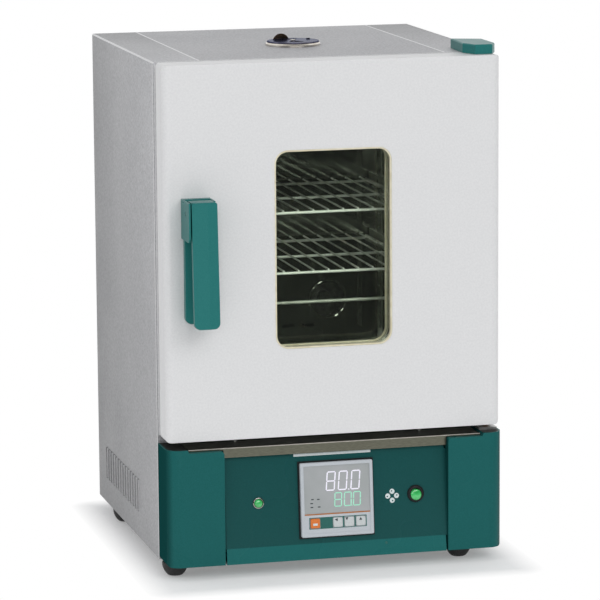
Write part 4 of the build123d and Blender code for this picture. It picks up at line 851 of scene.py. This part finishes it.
def sill_edge_highlight():
    """Painted highlight: bright rod along the folded edge of the sill's lip."""
    low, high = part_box("sill_strip")
    y, z = low.y + EDGE_ROD / 2, high.z - EDGE_ROD / 3
    mesh = bmesh.new()
    tube(mesh, ((low.x, y, z), (high.x, y, z)), EDGE_ROD)
    piece("sill_edge_highlight", mesh, finishes["edge_painted_highlight"], "cabinet")


def lip_screw():
    """Small painted screw on the panel's lip."""
    place = panel_point(SCREW_X, SCREW_HEIGHT)
    place.translation.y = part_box("control_panel")[0].y + LIP_SETBACK
    mesh = bmesh.new()
    lathe(mesh, in_mm(SCREW_PROFILE), place, segments=24)
    piece("lip_screw", mesh, finishes["key_strip"], "cabinet")


# Pale strips of painted light: in the gap beside the door, and in the mouths of the louvres


GAP_STRIP_WIDTH = 2.5 * MM
GAP_STRIP_INSET = 0.1 * MM
GAP_STRIP_REACH = 120 * MM
LOUVRE_COUNT = 14
LOUVRE_PITCH = 14.8 * MM
LOUVRE_BACK_INSET = 250 * MM
LOUVRE_BOTTOM, LOUVRE_TOP = 49.8 * MM, 88.2 * MM
SLIP_NEAR, SLIP_FAR = 0.25 * MM, 0.55 * MM
SLIP_SETBACK = 0.65 * MM


def box_between(mesh, low, high):
    """Upright block between two corners."""
    (x0, y0, z0), (x1, y1, z1) = low, high
    plate(mesh, ((x0, y0), (x1, y0), (x1, y1), (x0, y1)), Matrix.Translation((0, 0, z0)), z1 - z0)


def door_gap_pale_strip():
    """Pale strip on the cabinet's front, flush behind the door's left and top edges: painted light over the gap's
    shade.
    """
    door_low, door_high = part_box("door_shell")
    front = SHEET_LOW.y
    near = door_high.y + CLEAR_ROOM
    left, top = door_low.x + GAP_STRIP_INSET, door_high.z - SHELL_CORNER
    mesh = bmesh.new()
    box_between(mesh, (left, near, door_low.z + SHELL_CORNER), (left + GAP_STRIP_WIDTH, front, top))
    box_between(mesh, (left + GAP_STRIP_WIDTH, near, top - GAP_STRIP_WIDTH), (GAP_STRIP_REACH, front, top))
    piece("door_gap_pale_strip", mesh, finishes["pale_painted_light"], "cabinet")


def louvre_pale_slips():
    """Slips just inside the mouths of the side louvres, pale as a painted highlight."""
    crown = -SHEET_LOW.x - SLIP_SETBACK
    mesh = bmesh.new()
    for index in range(LOUVRE_COUNT):
        mouth = SHEET_HIGH.y - LOUVRE_BACK_INSET + index * LOUVRE_PITCH
        for side in (-1, 1):
            inner, outer = sorted((side * (crown - LOUVRE_RISE), side * crown))
            box_between(mesh, (inner, mouth + SLIP_NEAR, LOUVRE_BOTTOM),
                        (outer, mouth + SLIP_FAR, LOUVRE_TOP))
    piece("louvre_pale_slips", mesh, finishes["pale_painted_light"], "cabinet")


# Light, floor and camera


SKY_COLOUR = (0.97, 0.98, 1.0, 1)
SKY_STRENGTH = 0.62
ROOM_TURN = (-0.3, 0.2)
ROOM_LIGHT = (0.05, 1.0)
FLOOR_RADIUS = 1.3
FLOOR_DROP = 1 * MM
PAPER_COLOURS = ((0.94, 0.94, 0.94), (0.96, 0.96, 0.96))
PAPER_SCALE = 30.0
PAPER_ROUGHNESS = 0.9
SHADOW_FADE = (-0.01, 0.035)
LAMP_TARGET = Vector((0, 0, 0.3))
LAMPS = (("key", (0.5, -3.4, 2.2), (2.2, 1.6), 46), ("front_fill", (-0.9, -3.4, 1.1), (1.0, 1.0), 11),
         ("left_fill", (-3.2, -0.6, 1.4), (1.6, 1.6), 10))


def backdrop():
    """White backdrop over a softer sky. Reflections see a dark room in front of the object."""
    world = bpy.data.worlds.new("studio")
    bpy.context.scene.world = world
    world.use_nodes = True
    graph = Graph(world.node_tree)
    light = graph.add("ShaderNodeBackground", Color=SKY_COLOUR, Strength=SKY_STRENGTH)
    shown = graph.add("ShaderNodeBackground", Color=(1, 1, 1, 1))
    heading = graph.along(graph.add("ShaderNodeTexCoord").outputs["Generated"], "Y")
    direct = graph.add("ShaderNodeLightPath").outputs["Is Camera Ray"]
    graph.link(graph.math("MAXIMUM", direct, graph.span(heading, *ROOM_TURN, *ROOM_LIGHT)),
               shown.inputs["Strength"])
    both = graph.mix(graph.seen(), light.outputs["Background"], shown.outputs["Background"])
    graph.link(both, graph.add("ShaderNodeOutputWorld").inputs["Surface"])


def paper_floor():
    """Pale floor that keeps the shadow under the object and is white round it."""
    mesh = bmesh.new()
    lathe(mesh, [(0, -FLOOR_DROP), (FLOOR_RADIUS, -FLOOR_DROP)], Matrix.Identity(4), segments=64)
    data = bpy.data.meshes.new("floor")
    mesh.to_mesh(data)
    mesh.free()
    floor = bpy.data.objects.new("floor", data)
    bpy.context.scene.collection.objects.link(floor)
    shader = Shader("floor_paper")
    paper = shader.add("ShaderNodeBsdfPrincipled", Roughness=PAPER_ROUGHNESS)
    shader.link(shader.blend(shader.noise(PAPER_SCALE), *PAPER_COLOURS), paper.inputs["Base Color"])
    outside = shader.coords
    for operation, value in (("ABSOLUTE", None), ("SUBTRACT", (*cad_box[1].xy, 0)), ("MAXIMUM", (0, 0, 0)),
                             ("MULTIPLY", (1, 1, 0))):
        step = shader.add("ShaderNodeVectorMath", operation=operation)
        shader.link(outside, step.inputs[0])
        if value:
            step.inputs[1].default_value = value
        outside = step.outputs["Vector"]
    away = shader.add("ShaderNodeVectorMath", operation="LENGTH")
    shader.link(outside, away.inputs[0])
    fade = shader.span(away.outputs["Value"], *SHADOW_FADE, 0.0, 1.0)
    white = shader.add("ShaderNodeEmission")
    both = shader.mix(shader.math("MULTIPLY", fade, shader.seen()), paper.outputs["BSDF"],
                      white.outputs["Emission"])
    data.materials.append(shader.finish(both))


def lamps():
    """Large soft lamps in front of the object and on its left."""
    for name, place, size, power in LAMPS:
        data = bpy.data.lights.new(name, "AREA")
        data.shape = "RECTANGLE"
        data.size, data.size_y = size
        data.energy = power
        thing = bpy.data.objects.new(name, data)
        thing.location = place
        thing.rotation_euler = (LAMP_TARGET - Vector(place)).to_track_quat("-Z", "Y").to_euler()
        bpy.context.scene.collection.objects.link(thing)


def camera():
    """Camera at the photograph's place."""
    forward = Vector((math.sin(CAMERA_AZIMUTH) * math.cos(CAMERA_ELEVATION),
                      math.cos(CAMERA_AZIMUTH) * math.cos(CAMERA_ELEVATION), -math.sin(CAMERA_ELEVATION)))
    level = Vector((math.cos(CAMERA_AZIMUTH), -math.sin(CAMERA_AZIMUTH), 0))
    fall = forward.cross(level)
    right = math.cos(CAMERA_ROLL) * level - math.sin(CAMERA_ROLL) * fall
    down = math.sin(CAMERA_ROLL) * level + math.cos(CAMERA_ROLL) * fall
    data = bpy.data.cameras.new("photo_camera")
    data.sensor_width = SENSOR_WIDTH
    data.lens = CAMERA_FOCAL_PIXELS / PHOTO_PIXELS * SENSOR_WIDTH
    data.clip_end = CAMERA_REACH
    thing = bpy.data.objects.new("photo_camera", data)
    place = Matrix((right, -down, -forward)).transposed().to_4x4()
    place.translation = CAMERA_PLACE
    thing.matrix_world = place
    bpy.context.scene.collection.objects.link(thing)
    bpy.context.scene.camera = thing


bpy.context.scene.view_settings.view_transform = "Standard"
dress_nodes()
soften_edges()
camera()
backdrop()
paper_floor()
lamps()
wire_shelf("shelf_lower")
wire_shelf("shelf_upper")
rubber_feet()
controller_face()
fan_symbol()
panel_lights()
fold_highlights()
panel_trim()
sill_ends()
sill_edge_highlight()
lip_screw()
door_gap_pale_strip()
louvre_pale_slips()
